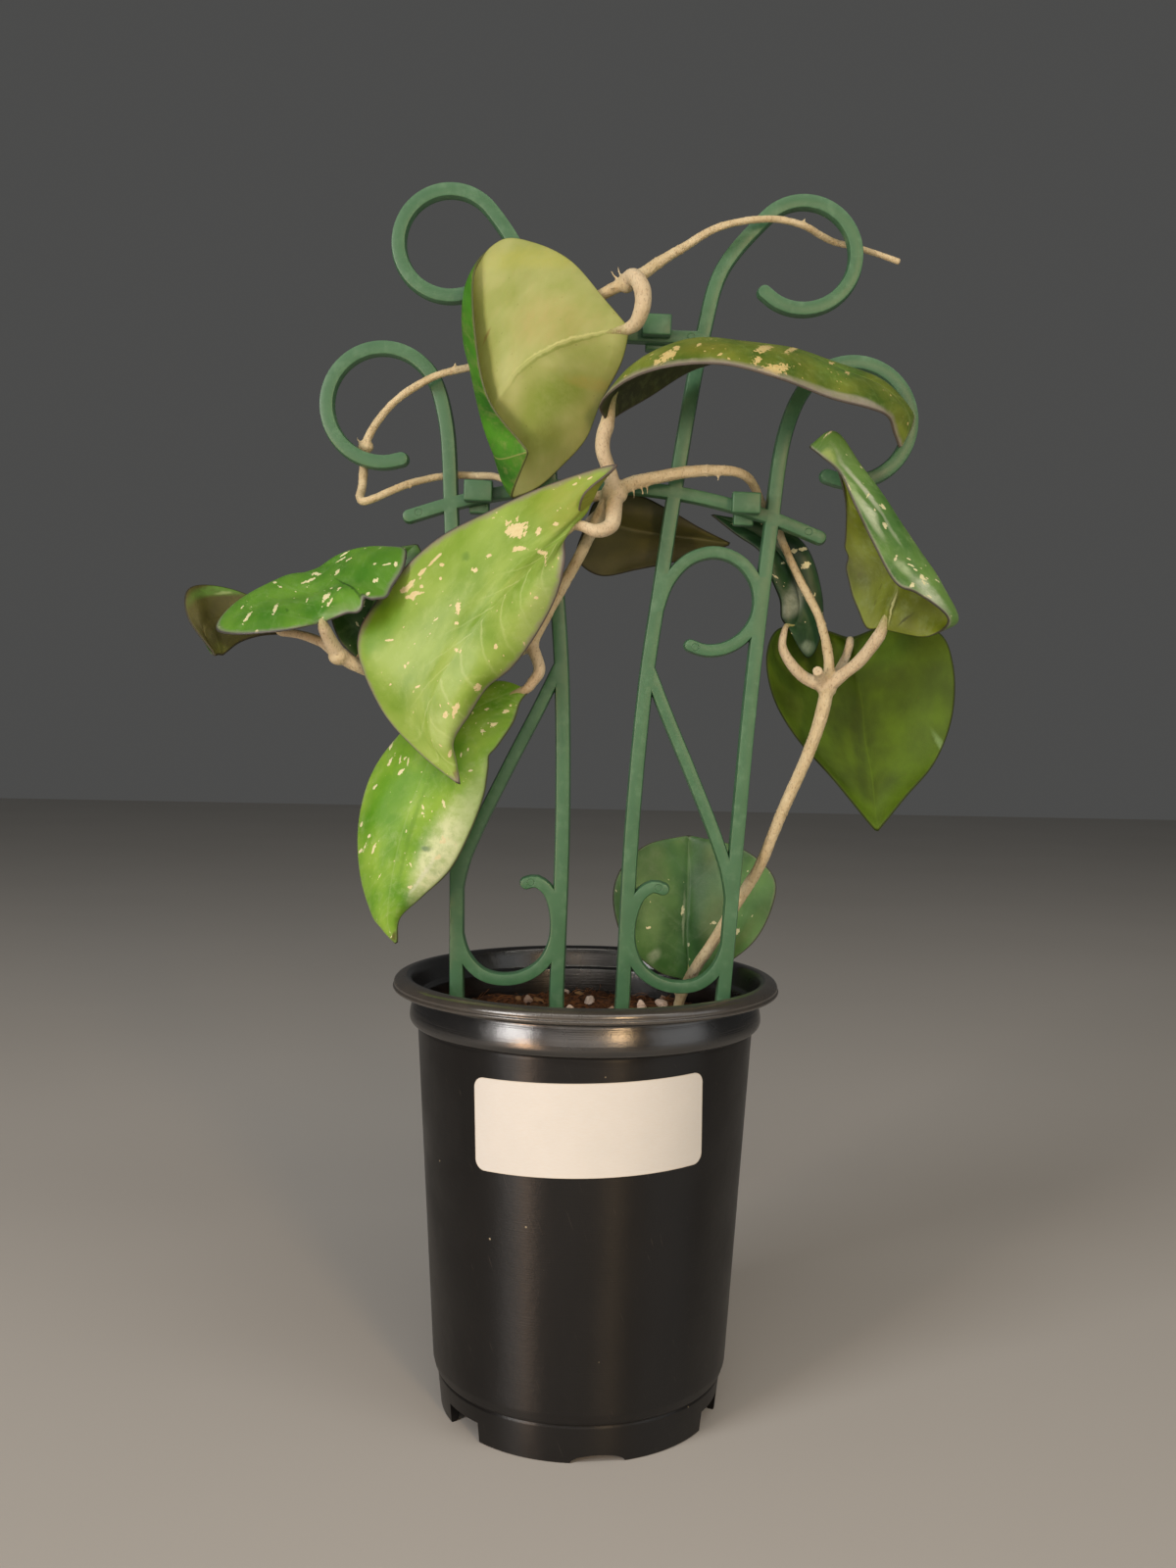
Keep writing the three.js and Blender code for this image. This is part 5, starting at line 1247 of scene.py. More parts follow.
STALKS = [
    {
        "leaf": "leaf_top",
        "path": [
            (7.5, -10, 322), (9.4, -13, 322.8), (11.9, -16, 318.8), (12.2, -17, 313.6), (11, -15.6, 310),
            (10.12, -14.25, 309.06),
        ],
        "radii": [2.2, 2.3, 2.4, 2.3, 2],
    },
    {
        "leaf": "leaf_arching",
        "path": [
            (5.5, -9, 264), (4, -10, 269.5), (2, -11, 275), (2.1, -11.2, 279), (2.85, -11.22, 281.41),
        ],
        "radii": [2.4, 2, 2.1, 2.2],
    },
    {
        "leaf": "leaf_front",
        "path": [
            (5.5, -9, 264), (5.4, -12, 258.5), (4.6, -15, 253.6), (0.8, -16.6, 251.8), (-3.4, -16, 253.2),
        ],
        "radii": [2.6, 2.4, 2.3, 2, 1.5],
    },
    {
        "leaf": "leaf_lower_left",
        "path": [(-17.5, -7, 220.5), (-15.8, -9, 217), (-14.8, -10, 213), (-17.47, -9.57, 208.61)],
        "radii": [2, 1.7, 1.7, 1.5],
    },
    {
        "leaf": "leaf_left",
        "path": [(-71.5, -12, 216.5), (-73.2, -15, 220), (-74.3, -18.4, 223.3)],
        "radii": [2.3, 2, 1.7],
    },
    {
        "leaf": "leaf_far_left",
        "path": [
            (-71.5, -12, 216.5), (-76, -9, 219.6), (-82.5, -4, 222), (-87.6, 1, 223),
            (-90.59, 3.35, 223.32),
        ],
        "radii": [1.9, 1.4, 1.3, 1.2],
    },
    {
        "leaf": "leaf_back_left",
        "path": [(-69.5, -11, 215), (-68.4, -4, 213.6), (-68.4, 3, 213.8), (-68.71, 7.12, 215.49)],
        "radii": [1.8, 1.3, 1.3],
    },
    {
        "leaf": "leaf_right",
        "path": [
            (69.6, 6, 210.5), (73.5, 4, 214), (77.5, 2, 217.5), (80.5, 0, 221.5), (82.85, -1.44, 225.22),
        ],
        "radii": [2.2, 1.8, 1.9, 1.9],
    },
    {
        "leaf": "leaf_dark",
        "path": [
            (69.6, 6, 210.5), (63, 6, 213), (58.6, 5, 217), (55.8, 4.6, 222), (56.45, 5.68, 226.74),
        ],
        "radii": [2.2, 1.8, 1.5, 1.0],
    },
    {
        "leaf": "leaf_back_right",
        "path": [(69.6, 6, 210.5), (73.4, 11, 215.4), (75.8, 12, 219.6), (76.8, 11.5, 223.3)],
        "radii": [2, 1.3, 1.3],
    },
    {
        "path": [(68.4, 6, 211), (66.4, 2.6, 214), (65.6, 0.4, 215)],
        "radii": [1.8, 1.6, 1.5],
    },
    {
        "leaf": "leaf_centre_back",
        "path": [(2.4, -8, 259), (1.2, -3, 258.8), (-1.34, 2.36, 257.38)],
        "radii": [1.5, 1.3, 1.2],
    },
    {
        "leaf": "leaf_soil",
        "path": [(29.3, 21.6, 117.4), (30.4, 24.4, 117.4), (31.4, 26.4, 118.1)],
        "radii": [1.5, 1.3, 1.2],
    },
]
# Joints: centre and radii
JOINTS = [
    ((69.4, 6, 210.4), (3, 2.6, 3.2)),
    ((5.6, -9.4, 263.6), (3.8, 3, 3.6)),
    ((-17.4, -7, 220.2), (2.4, 2.3, 2.6)),
    ((-71.3, -12, 216), (3, 2.6, 2.6)),
    ((7.8, -10.2, 321.8), (2.6, 2.6, 2.8)),
    ((-67, 4.3, 277.8), (2.3, 2, 2)),
    ((16.6, -8.4, 328), (1.7, 1.6, 1.5)),
    ((29.2, 22, 117), (2.2, 2.1, 2.4)),
]
# Short aerial roots: foot, direction and length
ROOTS = [
    ((10.4, -8.6, 265.4), (0.2, -0.2, -1), 4.6),
    ((12.6, -8, 266), (0.35, -0.3, -1), 4),
    ((14.2, -7.8, 266.6), (0.2, 0.1, -1), 4.2),
    ((34.5, -7.2, 269.6), (0.1, -0.2, -1), 3),
    ((41.2, -6.2, 269.8), (0.9, -0.4, 0.5), 3.2),
    ((6.4, -10, 322.4), (-0.9, -0.2, 0.7), 5),
    ((6.2, -10.6, 321.2), (-1, -0.5, -0.5), 4.4),
    ((6.8, -10.2, 323.2), (-0.5, 0.1, 1), 4.6),
    ((-53.4, -1.6, 266.4), (0.1, -0.2, -1), 2.6),
    ((-68.2, 4.2, 279), (-0.8, -0.1, 0.8), 3),
    ((-40.4, -4.8, 298.6), (0.2, -0.2, 1), 2.6),
    ((58, -3.6, 341.4), (0.4, -0.2, 1), 2.6),
    ((-72, -12.6, 217), (-0.7, -0.3, 0.7), 4),
    ((4.4, -10.8, 261.4), (-0.8, -0.5, -0.5), 3.4),
]


def sweep_frames(line):
    """Two directions across the line at each of its points, which don't twist."""
    ahead = np.gradient(line, axis=0)
    ahead /= np.linalg.norm(ahead, axis=1)[:, None]
    across = np.zeros_like(line)
    start = np.cross(ahead[0], (0.3, 0.9, 0.2))
    across[0] = start / np.linalg.norm(start)
    for i in range(1, len(line)):
        kept = across[i - 1] - ahead[i] * (across[i - 1] @ ahead[i])
        across[i] = kept / np.linalg.norm(kept)
    return across, np.cross(ahead, across)


def tube_tree():
    """Nodes that turn every path of a curve object into a round stem as thick as the path says."""
    tree, add, entry, inputs = geometry_tree("stems along paths", Sides="Int", Material="Material")
    section = add("GeometryNodeCurvePrimitiveCircle", Resolution=entry.outputs["Sides"], Radius=1.0)
    radius = add("GeometryNodeInputRadius")
    stems = add(
        "GeometryNodeCurveToMesh", Curve=entry.outputs["Geometry"], Profile_Curve=section, Scale=radius,
        Fill_Caps=True,
    )
    real = add("GeometryNodeRealizeInstances", Geometry=stems)
    coated = add("GeometryNodeSetMaterial", Geometry=real, Material=entry.outputs["Material"])
    add("NodeGroupOutput", Geometry=coated)
    return tree, inputs


STEM_STEP = 0.5
STEM_SIDES = 20
BARK_VOXEL = 0.38
FURROW_HEIGHT = 0.16
RING_HEIGHT = 0.3
MIDRIB_SHARES = (0.01, 0.035, 0.07, 0.11, 0.15)


def midrib_start(node):
    """The first few millimetres of a leaf's midrib, where its stalk runs on into it."""
    return list(through(blade_columns(LEAVES[node])[2], MIDRIB_SHARES, even=False))


def stem_paths():
    """Every stem, stalk and root as a line of points with its radius and its kind."""
    paths = []
    for woody, pieces in ((1, STEMS), (0, STALKS)):
        for piece in pieces:
            line, along = run_along(piece["path"], STEM_STEP)
            spans = len(piece["radii"]) - 1
            radii = np.interp(along / along[-1] * spans, range(spans + 1), piece["radii"])
            kind = np.full(len(line), float(woody))
            if "leaf" in piece:
                onto, further = run_along([line[-1]] + midrib_start(piece["leaf"]), STEM_STEP)
                line = np.vstack([line, onto[1:]])
                along = np.concatenate([along, along[-1] + further[1:]])
                radii = np.concatenate([radii, np.linspace(radii[-1], 0.5, len(onto))[1:]])
                kind = np.concatenate([kind, np.linspace(0, -1, len(onto))[1:]])
            paths.append((line, along, radii, kind))
    for foot, direction, length in ROOTS:
        towards = np.array(direction, float) / np.linalg.norm(direction)
        foot = np.array(foot, float)
        bend = np.cross(towards, (0.2, 1, 0.3)) * 0.35
        marks = [foot - towards, foot + towards * length * 0.4 + bend, foot + towards * (length - 1)]
        line, along = run_along(marks, STEM_STEP)
        paths.append((line, along, np.linspace(0.55, 0.22, len(line)), np.ones(len(line))))
    return paths


def make_vine():
    paths = stem_paths()
    drawn = bpy.data.curves.new("stem paths", "CURVE")
    drawn.dimensions = "3D"
    for line, _, radii, _ in paths:
        spline = drawn.splines.new("POLY")
        spline.points.add(len(line) - 1)
        placed = (line + (POT_AXIS_X, 0, 0)) * MM
        spline.points.foreach_set("co", np.hstack([placed, np.ones((len(line), 1))]).ravel())
        spline.points.foreach_set("radius", radii * MM)
    grown = bpy.data.objects.new("grown_vine", drawn)
    bpy.context.scene.collection.objects.link(grown)
    tree, inputs = tube_tree()
    modifier = grown.modifiers.new("stems", "NODES")
    modifier.node_group = tree
    modifier[inputs["Sides"]] = STEM_SIDES
    vine = bake_modifiers(grown)

    work = bmesh.new()
    work.from_mesh(vine.data)
    for (x, y, z), radii in JOINTS:
        place = Matrix.Translation(Vector((x + POT_AXIS_X, y, z)) * MM)
        size = Matrix.Diagonal([radius * MM for radius in radii] + [1])
        bmesh.ops.create_icosphere(work, subdivisions=3, radius=1, matrix=place @ size)
    bmesh.ops.recalc_face_normals(work, faces=work.faces)
    work.to_mesh(vine.data)
    work.free()
    remesh = vine.modifiers.new("grow together", "REMESH")
    remesh.mode = "VOXEL"
    remesh.voxel_size = BARK_VOXEL * MM
    relax = vine.modifiers.new("relax", "SMOOTH")
    relax.factor = 0.5
    relax.iterations = 4
    bake_modifiers(vine)
    roughen_bark(vine, paths)
    return vine


def roughen_bark(vine, paths):
    """Ring scars and lengthwise furrows on the woody stems, and a smoother skin on the leaf stalks."""
    points, normals = points_of(vine)
    tree = kdtree.KDTree(sum(len(line) for line, _, _, _ in paths))
    facts = []
    for line, along, radii, kind in paths:
        across, up = sweep_frames(line)
        for i, place in enumerate(line):
            tree.insert(place, len(facts))
            facts.append((along[i], radii[i], kind[i], place, across[i], up[i]))
    tree.balance()
    bark = np.zeros((len(points), 3))
    lift = np.zeros(len(points))
    for i, point in enumerate(points):
        along, radius, woody, place, across, up = facts[tree.find(point)[1]]
        out = point - place
        angle = math.atan2(out @ up, out @ across)
        bark[i] = (along, angle * radius, woody)
        turn = Vector((math.cos(angle) * radius * 1.6, math.sin(angle) * radius * 1.6, along * 0.22))
        furrow = noise.fractal(turn, 0.7, 2.2, 3)
        ring = max(0, noise.noise(Vector((along * 1.1, 3.1, radius)))) ** 2
        raised = (FURROW_HEIGHT * furrow + RING_HEIGHT * ring * max(woody, 0)) * min(1, radius / 1.3)
        lift[i] = raised * (0.45 + 0.45 * woody)
    move_points(vine, points + normals * lift[:, None])
    store(vine, "bark", bark)


# Leaves: rows from the stalk to the tip. A row is rim, midrib, rim; rows of four and five also fix the
# middle of a half, and the arch lifts the middles that are not fixed. Dents give a place across and along
# the blade, a reach and a shift. Ease says how much the fold at the midrib is rounded off.
LEAVES = {
    "leaf_top": {
        "arch": (0, -3, 1),
        "rows": [
            [(8.4, -13.2, 308.2)],
            [(2, -13, 316), (0, -15, 306), (6.6, -11, 299)],
            [(-8, -9, 328), (-9, -17, 303), (1, -6, 289)],
            [(-19, -6, 334), (-19, -19, 297), (-3, -5, 279)],
            [(-28, -7, 334), (-25, -19, 290), (-10, -5, 271)],
            [(-34.4, -14, 323), (-37, -10, 312), (-29, -15, 283), (-21, -10, 272), (-16, -7, 265)],
            [(-33.2, -20, 302), (-35, -13.4, 297), (-28.6, -15.4, 278), (-26, -11, 269), (-21, -10, 262)],
            [
                (-29, -22, 285.5), (-30.6, -17.4, 283), (-27.2, -15.4, 271.6),
                (-25, -13, 266), (-23, -13, 262),
            ],
            [(-18.4, -22.8, 272)],
        ],
    },
    "leaf_front": {
        "ease": 1,
        "ease_share": 0.9,
        "arch": (-0.5, -3.5, 1),
        "rows": [
            [(-5.2, -15.6, 253.8)],
            [(-3, -23, 261), (1, -17, 262), (-11, -18, 248), (-9.5, -18, 249), (-8, -16.4, 250)],
            [(6, -18, 270), (-2, -18, 263), (-16, -21, 241), (-12, -20, 242), (-7.9, -20, 242.5)],
            [(-12, -15, 265), (-22, -24, 232), (-9.9, -21, 233.5)],
            [(-29, -16, 257), (-28, -25, 223), (-14.7, -22, 223.5)],
            [(-46, -12, 248), (-33, -26, 213), (-21.5, -22.5, 213.6)],
            [(-61, -11, 232), (-37, -25, 204), (-28.4, -22.5, 207.8)],
            [(-66, -13, 219), (-39, -24, 197), (-33.4, -22, 200)],
            [(-59, -16, 202), (-39, -23, 190), (-37.6, -21.5, 193)],
            [(-48, -20, 190), (-37, -22, 185), (-37, -20, 187)],
            [(-36, -22, 181)],
        ],
    },
    "leaf_lower_left": {
        "ease": 1,
        "ease_share": 0.6,
        "dents": [(16.7, 31.8, 1.6, (-0.8, 0, 0.4))],
        "arch": (-0.5, -3, 0.5),
        "rows": [
            [(-18.4, -9.4, 207.6)],
            [(-28, -5, 210), (-23, -8.6, 206), (-20, -9, 204)],
            [(-44, -4, 205), (-37.4, -10.5, 198.6), (-21.9, -10.5, 198)],
            [(-56, -4, 193), (-43.1, -13, 189.9), (-27.7, -13, 188.1)],
            [(-63, -5, 182), (-47.1, -15.5, 181.9), (-29.6, -14, 177.3)],
            [(-66, -7, 168), (-51, -16, 171.7), (-33.5, -14.5, 166.4)],
            [(-65, -9, 154), (-53.9, -16.5, 161.8), (-38.8, -15, 156.2)],
            [(-61, -12, 143), (-56, -16.5, 148.6), (-46.6, -15.5, 148.6)],
            [(-57.8, -13.4, 139.2), (-55.8, -15.4, 140.6), (-52.6, -15, 142.6)],
            [(-53.6, -14.4, 135.4)],
        ],
    },
    "leaf_left": {
        "ease": 1,
        "dents": [
            (14.5, 6.5, 3, (0.4, 0, -1.3)), (24.2, 11.9, 3.4, (0.8, 0, -1.3)),
            (18.1, 8.3, 1.3, (-0.8, 0, 1.6)), (-0.7, 30, 4, (0, 0, -1.5)), (30, 24, 3.2, (1.6, 0, 1)),
        ],
        "arch": (0, -1, 3),
        "rows": [
            [(-74.6, -19.6, 224.8)],
            [(-84, -24, 222), (-76, -17, 227), (-68, -22, 227)],
            [(-99, -20, 221), (-78, -12, 231), (-59, -22, 232)],
            [(-106, -12, 223.4), (-80, -7, 232.6), (-55, -18, 236)],
            [(-103, -4, 230.4), (-82, -3, 235), (-53, -13, 242.5)],
            [(-94, 2, 236.6), (-82, 1, 238.4), (-58, -4, 247.6)],
            [(-88, 5, 238.8), (-82, 4, 240.4), (-70, 1, 247)],
            [(-82, 7, 240.6)],
        ],
    },
    "leaf_far_left": {
        "arch": (0, 1, 2),
        "rows": [
            [(-91.8, 4, 223.6)],
            [(-95, 8, 231), (-98, 5, 226), (-97, 2, 222)],
            [(-106, 10, 236), (-106, 5, 227), (-102, 0, 220)],
            [(-115, 6, 237), (-111, 2, 226), (-105, -3, 217)],
            [(-118, 0, 234), (-112, -2, 224), (-106, -4, 216)],
            [(-116, -4, 226), (-111, -4, 220), (-107, -5, 216)],
            [(-108, -6, 216)],
        ],
    },
    "leaf_back_left": {
        "arch": (0, -1.5, 0.5),
        "rows": [
            [(-68.8, 8.4, 216.4)],
            [(-75, 8, 222), (-68, 11, 224), (-60, 9, 221)],
            [(-78, 10, 232), (-66, 14, 232), (-52, 12, 227)],
            [(-74, 12, 241), (-63, 15, 240), (-48, 13, 236)],
            [(-65, 14, 248), (-59, 15, 246), (-49, 13, 244)],
            [(-53, 14, 251)],
        ],
    },
    "leaf_arching": {
        "ease": 0.7,
        "arch": (0, -1, 2),
        "rows": [
            [(3.2, -11.4, 283)],
            [(1, -19, 286), (5, -13, 291), (7, -8, 286)],
            [(8, -29, 290), (11, -19, 298), (15, -7, 291)],
            [(19, -37, 292), (24, -22, 303), (27, -5.4, 299)],
            [(33, -40, 292), (37, -23, 302.6), (40, -5, 302.4)],
            [(48, -38, 289), (51, -22, 301.2), (53, -5, 301.8)],
            [(62, -31, 286), (65, -18, 297.4), (68, -5, 299)],
            [(74, -24, 285), (78, -13, 294), (81, -5, 296)],
            [(80, -19, 284), (86, -11, 288), (89, -5, 289)],
            [(83, -13, 281), (88, -9, 284), (90, -6, 285)],
            [(86, -8, 278)],
        ],
    },
    "leaf_right": {
        "dents": [
            (-15.5, 20.5, 2.2, (1.4, 0, 0)), (-14, 12, 3, (-0.8, 0, 0)), (24, 33, 2.4, (0, -1, -1)),
            (18, 41, 2, (0.6, 0, 1)), (28, 24, 2.4, (0, 0, 1.1)),
        ],
        "arch": (-0.5, 2, 0),
        "rows": [
            [(83.6, -2, 227)],
            [(79, 0, 228), (85, -4, 233), (95.5, -8, 224.8)],
            [(76, 3, 238), (87, -5, 239), (101.6, -8, 230.6), (99.2, -15, 229)],
            [(73, 4, 247), (86, -4, 245), (98, -8, 241), (93, -18, 234)],
            [(73, 2, 255), (82, -3, 252), (92, -8, 249), (84, -19, 238)],
            [(72, -2.6, 263), (78, -5, 260), (86, -8, 257), (78, -18, 248)],
            [(70, -4.8, 270), (74, -6, 267), (80.4, -9, 265), (72, -17, 260)],
            [(68, -5.6, 274), (70, -7, 273), (74, -10, 273), (68, -15, 269)],
            [(63, -7, 278), (66, -7, 278), (66.8, -11, 281), (63, -13, 274)],
            [(60, -11, 277)],
        ],
    },
    "leaf_back_right": {
        "arch": (0, 2, 0),
        "rows": [
            [(77, 12.4, 225.4)],
            [(68, 14, 228), (79, 15, 221), (88, 14, 229)],
            [(56, 12, 228), (80, 16, 214), (103, 13, 228)],
            [(52, 11, 220), (82, 17, 205), (108, 12, 218)],
            [(54, 11, 208), (83, 17, 195), (108, 11, 203)],
            [(61, 11, 196), (85, 16, 185), (103, 10, 189)],
            [(73, 11, 183), (86, 14, 175), (94, 9, 178)],
            [(86, 10, 168)],
        ],
    },
    "leaf_dark": {
        "arch": (0, -1, 0),
        "rows": [
            [(57, 6.6, 228.4)],
            [(55.5, 7.4, 231), (60, 8, 229), (64, 9, 219)],
            [(55, 7.6, 236), (61, 10, 235), (68, 10.4, 226)],
            [(52, 8.4, 243), (59, 11, 243), (68, 10, 238)],
            [(49, 9, 250), (55, 11, 250), (63, 10, 252)],
            [(42, 10, 255), (47, 12, 256), (53, 11, 258)],
            [(35, 11, 261)],
        ],
    },
    "leaf_centre_back": {
        "arch": (0, 1.5, 0),
        "rows": [
            [(-2.4, 3.8, 257)],
            [(1, 6, 264), (3, 5, 257), (-5, 6, 247)],
            [(12, 8, 266), (13, 6, 255), (2, 8, 242)],
            [(22, 9, 262), (22, 7, 254), (13, 8, 244)],
            [(31, 9, 257), (31, 7, 253), (26, 8, 247)],
            [(40, 8, 252)],
        ],
    },
    "leaf_soil": {
        "arch": (0, -2, 0),
        "rows": [
            [(32, 27.8, 119)],
            [(22, 26, 122), (32, 28.4, 125), (39, 24, 122)],
            [(12, 25, 131), (31.5, 28.4, 134), (51, 20, 132)],
            [(8, 26, 143), (31.5, 29, 143), (57, 20, 144)],
            [(10, 27, 153), (31.5, 30, 151), (57, 22, 153)],
            [(18, 28, 161), (31.5, 31, 158), (47, 25, 161)],
            [(31.5, 31, 164)],
        ],
    },
}

RIB_THICKNESS = 1.3
MARGIN_THICKNESS = 0.8
RIM_ROUNDING = 0.9
RIB_WIDTH = 1.25
RIB_RAISED = 0.5
RIB_SUNK = 0.3
VEIN_RAISED = 0.06
VEIN_SUNK = 0.07
BLADE_ROWS = 100
BLADE_CELLS = 36
MAP_ROWS = 240
MAP_CELLS = 80
EASE_SHARE = 0.45
# how much closer the lines of points lie towards the rims, and the steps that a slope is measured over
RIM_CROWDING = 0.92
STEP_ALONG = 0.02
STEP_ACROSS = 0.12


def blade_columns(spec):
    """Five long lines of each blade: rim, middle of the half, midrib, middle of the half, rim."""
    rows = spec["rows"]
    last = len(rows) - 1
    lift = np.array(spec["arch"], float)
    full = []
    for i, row in enumerate(rows):
        row = [np.array(p, float) for p in row]
        if len(row) == 1:
            full.append(row * 5)
            continue
        rib = row[2] if len(row) == 5 else row[1]
        share = math.sin(math.pi * i / last)
        middle_a = row[1] if len(row) == 5 else (rib + row[0]) / 2 + lift * share
        middle_b = row[-2] if len(row) >= 4 else (rib + row[-1]) / 2 + lift * share
        full.append([row[0], middle_a, rib, middle_b, row[-1]])
    for end, following, width in ((0, 1, 1.1), (last, last - 1, 0.5)):
        across = full[following][4] - full[following][0]
        across /= np.linalg.norm(across)
        full[end] = [full[end][0] + across * k * width for k in (-1, -0.5, 0, 0.5, 1)]
    return [np.array([row[c] for row in full]) for c in range(5)]


def eased(skin, u, v, ease, share):
    """The blade with the fold at its midrib rounded off, as much as ease says, its rims kept."""
    spread = np.exp(-(((v[:, None] - v[None, :]) / share) ** 2)) * np.gradient(v)[None, :]
    spread /= spread.sum(axis=1)[:, None]
    rounded = np.einsum("ij,ujk->uik", spread, skin)
    inner = np.clip(1 - v**2, 0, 1)[None, :, None] * np.clip(u * 10, 0, 1)[:, None, None]
    return skin + (rounded - skin) * ease * inner


def blade_grid(columns, u, v):
    """Places on the blade for all u, along the midrib, and v, from rim to rim."""
    lines = [through(column, u, even=False) for column in columns]
    s = np.abs(v)[None, :, None]
    rib = lines[2][:, None, :]
    low = (v < 0)[None, :, None]
    middle = np.where(low, lines[1][:, None, :], lines[3][:, None, :])
    rim = np.where(low, lines[0][:, None, :], lines[4][:, None, :])
    return rib * 2 * (s - 0.5) * (s - 1) + middle * 4 * s * (1 - s) + rim * 2 * s * (s - 0.5)


def blade_skin(spec, u, v):
    """The blade without its thickness, dented and eased, and its points' places across and along it."""
    skin = blade_grid(blade_columns(spec), u, v)
    middle = len(v) // 2
    steps_across = np.linalg.norm(np.diff(skin, axis=1), axis=2)
    width = np.concatenate([np.zeros((len(u), 1)), np.cumsum(steps_across, axis=1)], 1)
    width -= width[:, middle][:, None]
    rib_steps = np.linalg.norm(np.diff(skin[:, middle], axis=0), axis=1)
    along = np.concatenate([[0], np.cumsum(rib_steps)])
    for x, y, reach, shift in spec.get("dents", ()):
        near = np.exp(-((width - x) ** 2 + (along[:, None] - y) ** 2) / reach**2)
        skin = skin + near[:, :, None] * shift
    if "ease" in spec:
        skin = eased(skin, u, v, spec["ease"], spec.get("ease_share", EASE_SHARE))
    return skin, width, along


@cache
def blade_map(node):
    """Where fine points on the blade are seen in the frame, their places on it, and their depth."""
    u = np.linspace(0, 1, MAP_ROWS + 1)
    v = np.linspace(-1, 1, 2 * MAP_CELLS + 1)
    skin, width, along = blade_skin(LEAVES[node], u, v)
    away = (skin + (POT_AXIS_X, 0, 0) - CAMERA_AT) @ np.array(look.to_3x3())
    scale = FRAME_HEIGHT * LENS_MM / SENSOR_MM / -away[:, :, 2:]
    seen = away[:, :, :2] * scale * (1, -1) + (FRAME_WIDTH / 2, FRAME_HEIGHT / 2)
    return seen, np.stack([width, along[:, None] * np.ones_like(width)], 2), skin[:, :, 1]


def on_blade(node, x, y, length, breadth, turn):
    """A mark given in the frame as one on the blade: its place and half lengths in mm, turn in radians."""
    seen, place, depth = blade_map(node)
    away = np.hypot(seen[:, :, 0] - x, seen[:, :, 1] - y)
    under_mark = away < max(away.min() + 0.6, 1.5)
    i, j = np.unravel_index(np.argmin(np.where(under_mark, depth, np.inf)), away.shape)
    row = min(max(i, 1), len(seen) - 2)
    column = min(max(j, 1), seen.shape[1] - 2)
    seen_steps, place_steps = (
        (grid[row + 1, column] - grid[row - 1, column], grid[row, column + 1] - grid[row, column - 1])
        for grid in (seen, place)
    )
    mm_per_pixel = np.stack(place_steps, 1) @ np.linalg.inv(np.stack(seen_steps, 1))
    angle = math.radians(-turn)
    long_way = np.array([math.cos(angle), math.sin(angle)]) * length / 2
    short_way = np.array([-math.sin(angle), math.cos(angle)]) * breadth / 2
    axes, halves, _ = np.linalg.svd(mm_per_pixel @ np.stack([long_way, short_way], 1))
    return place[i, j], halves, math.atan2(axes[1, 0], axes[0, 0])


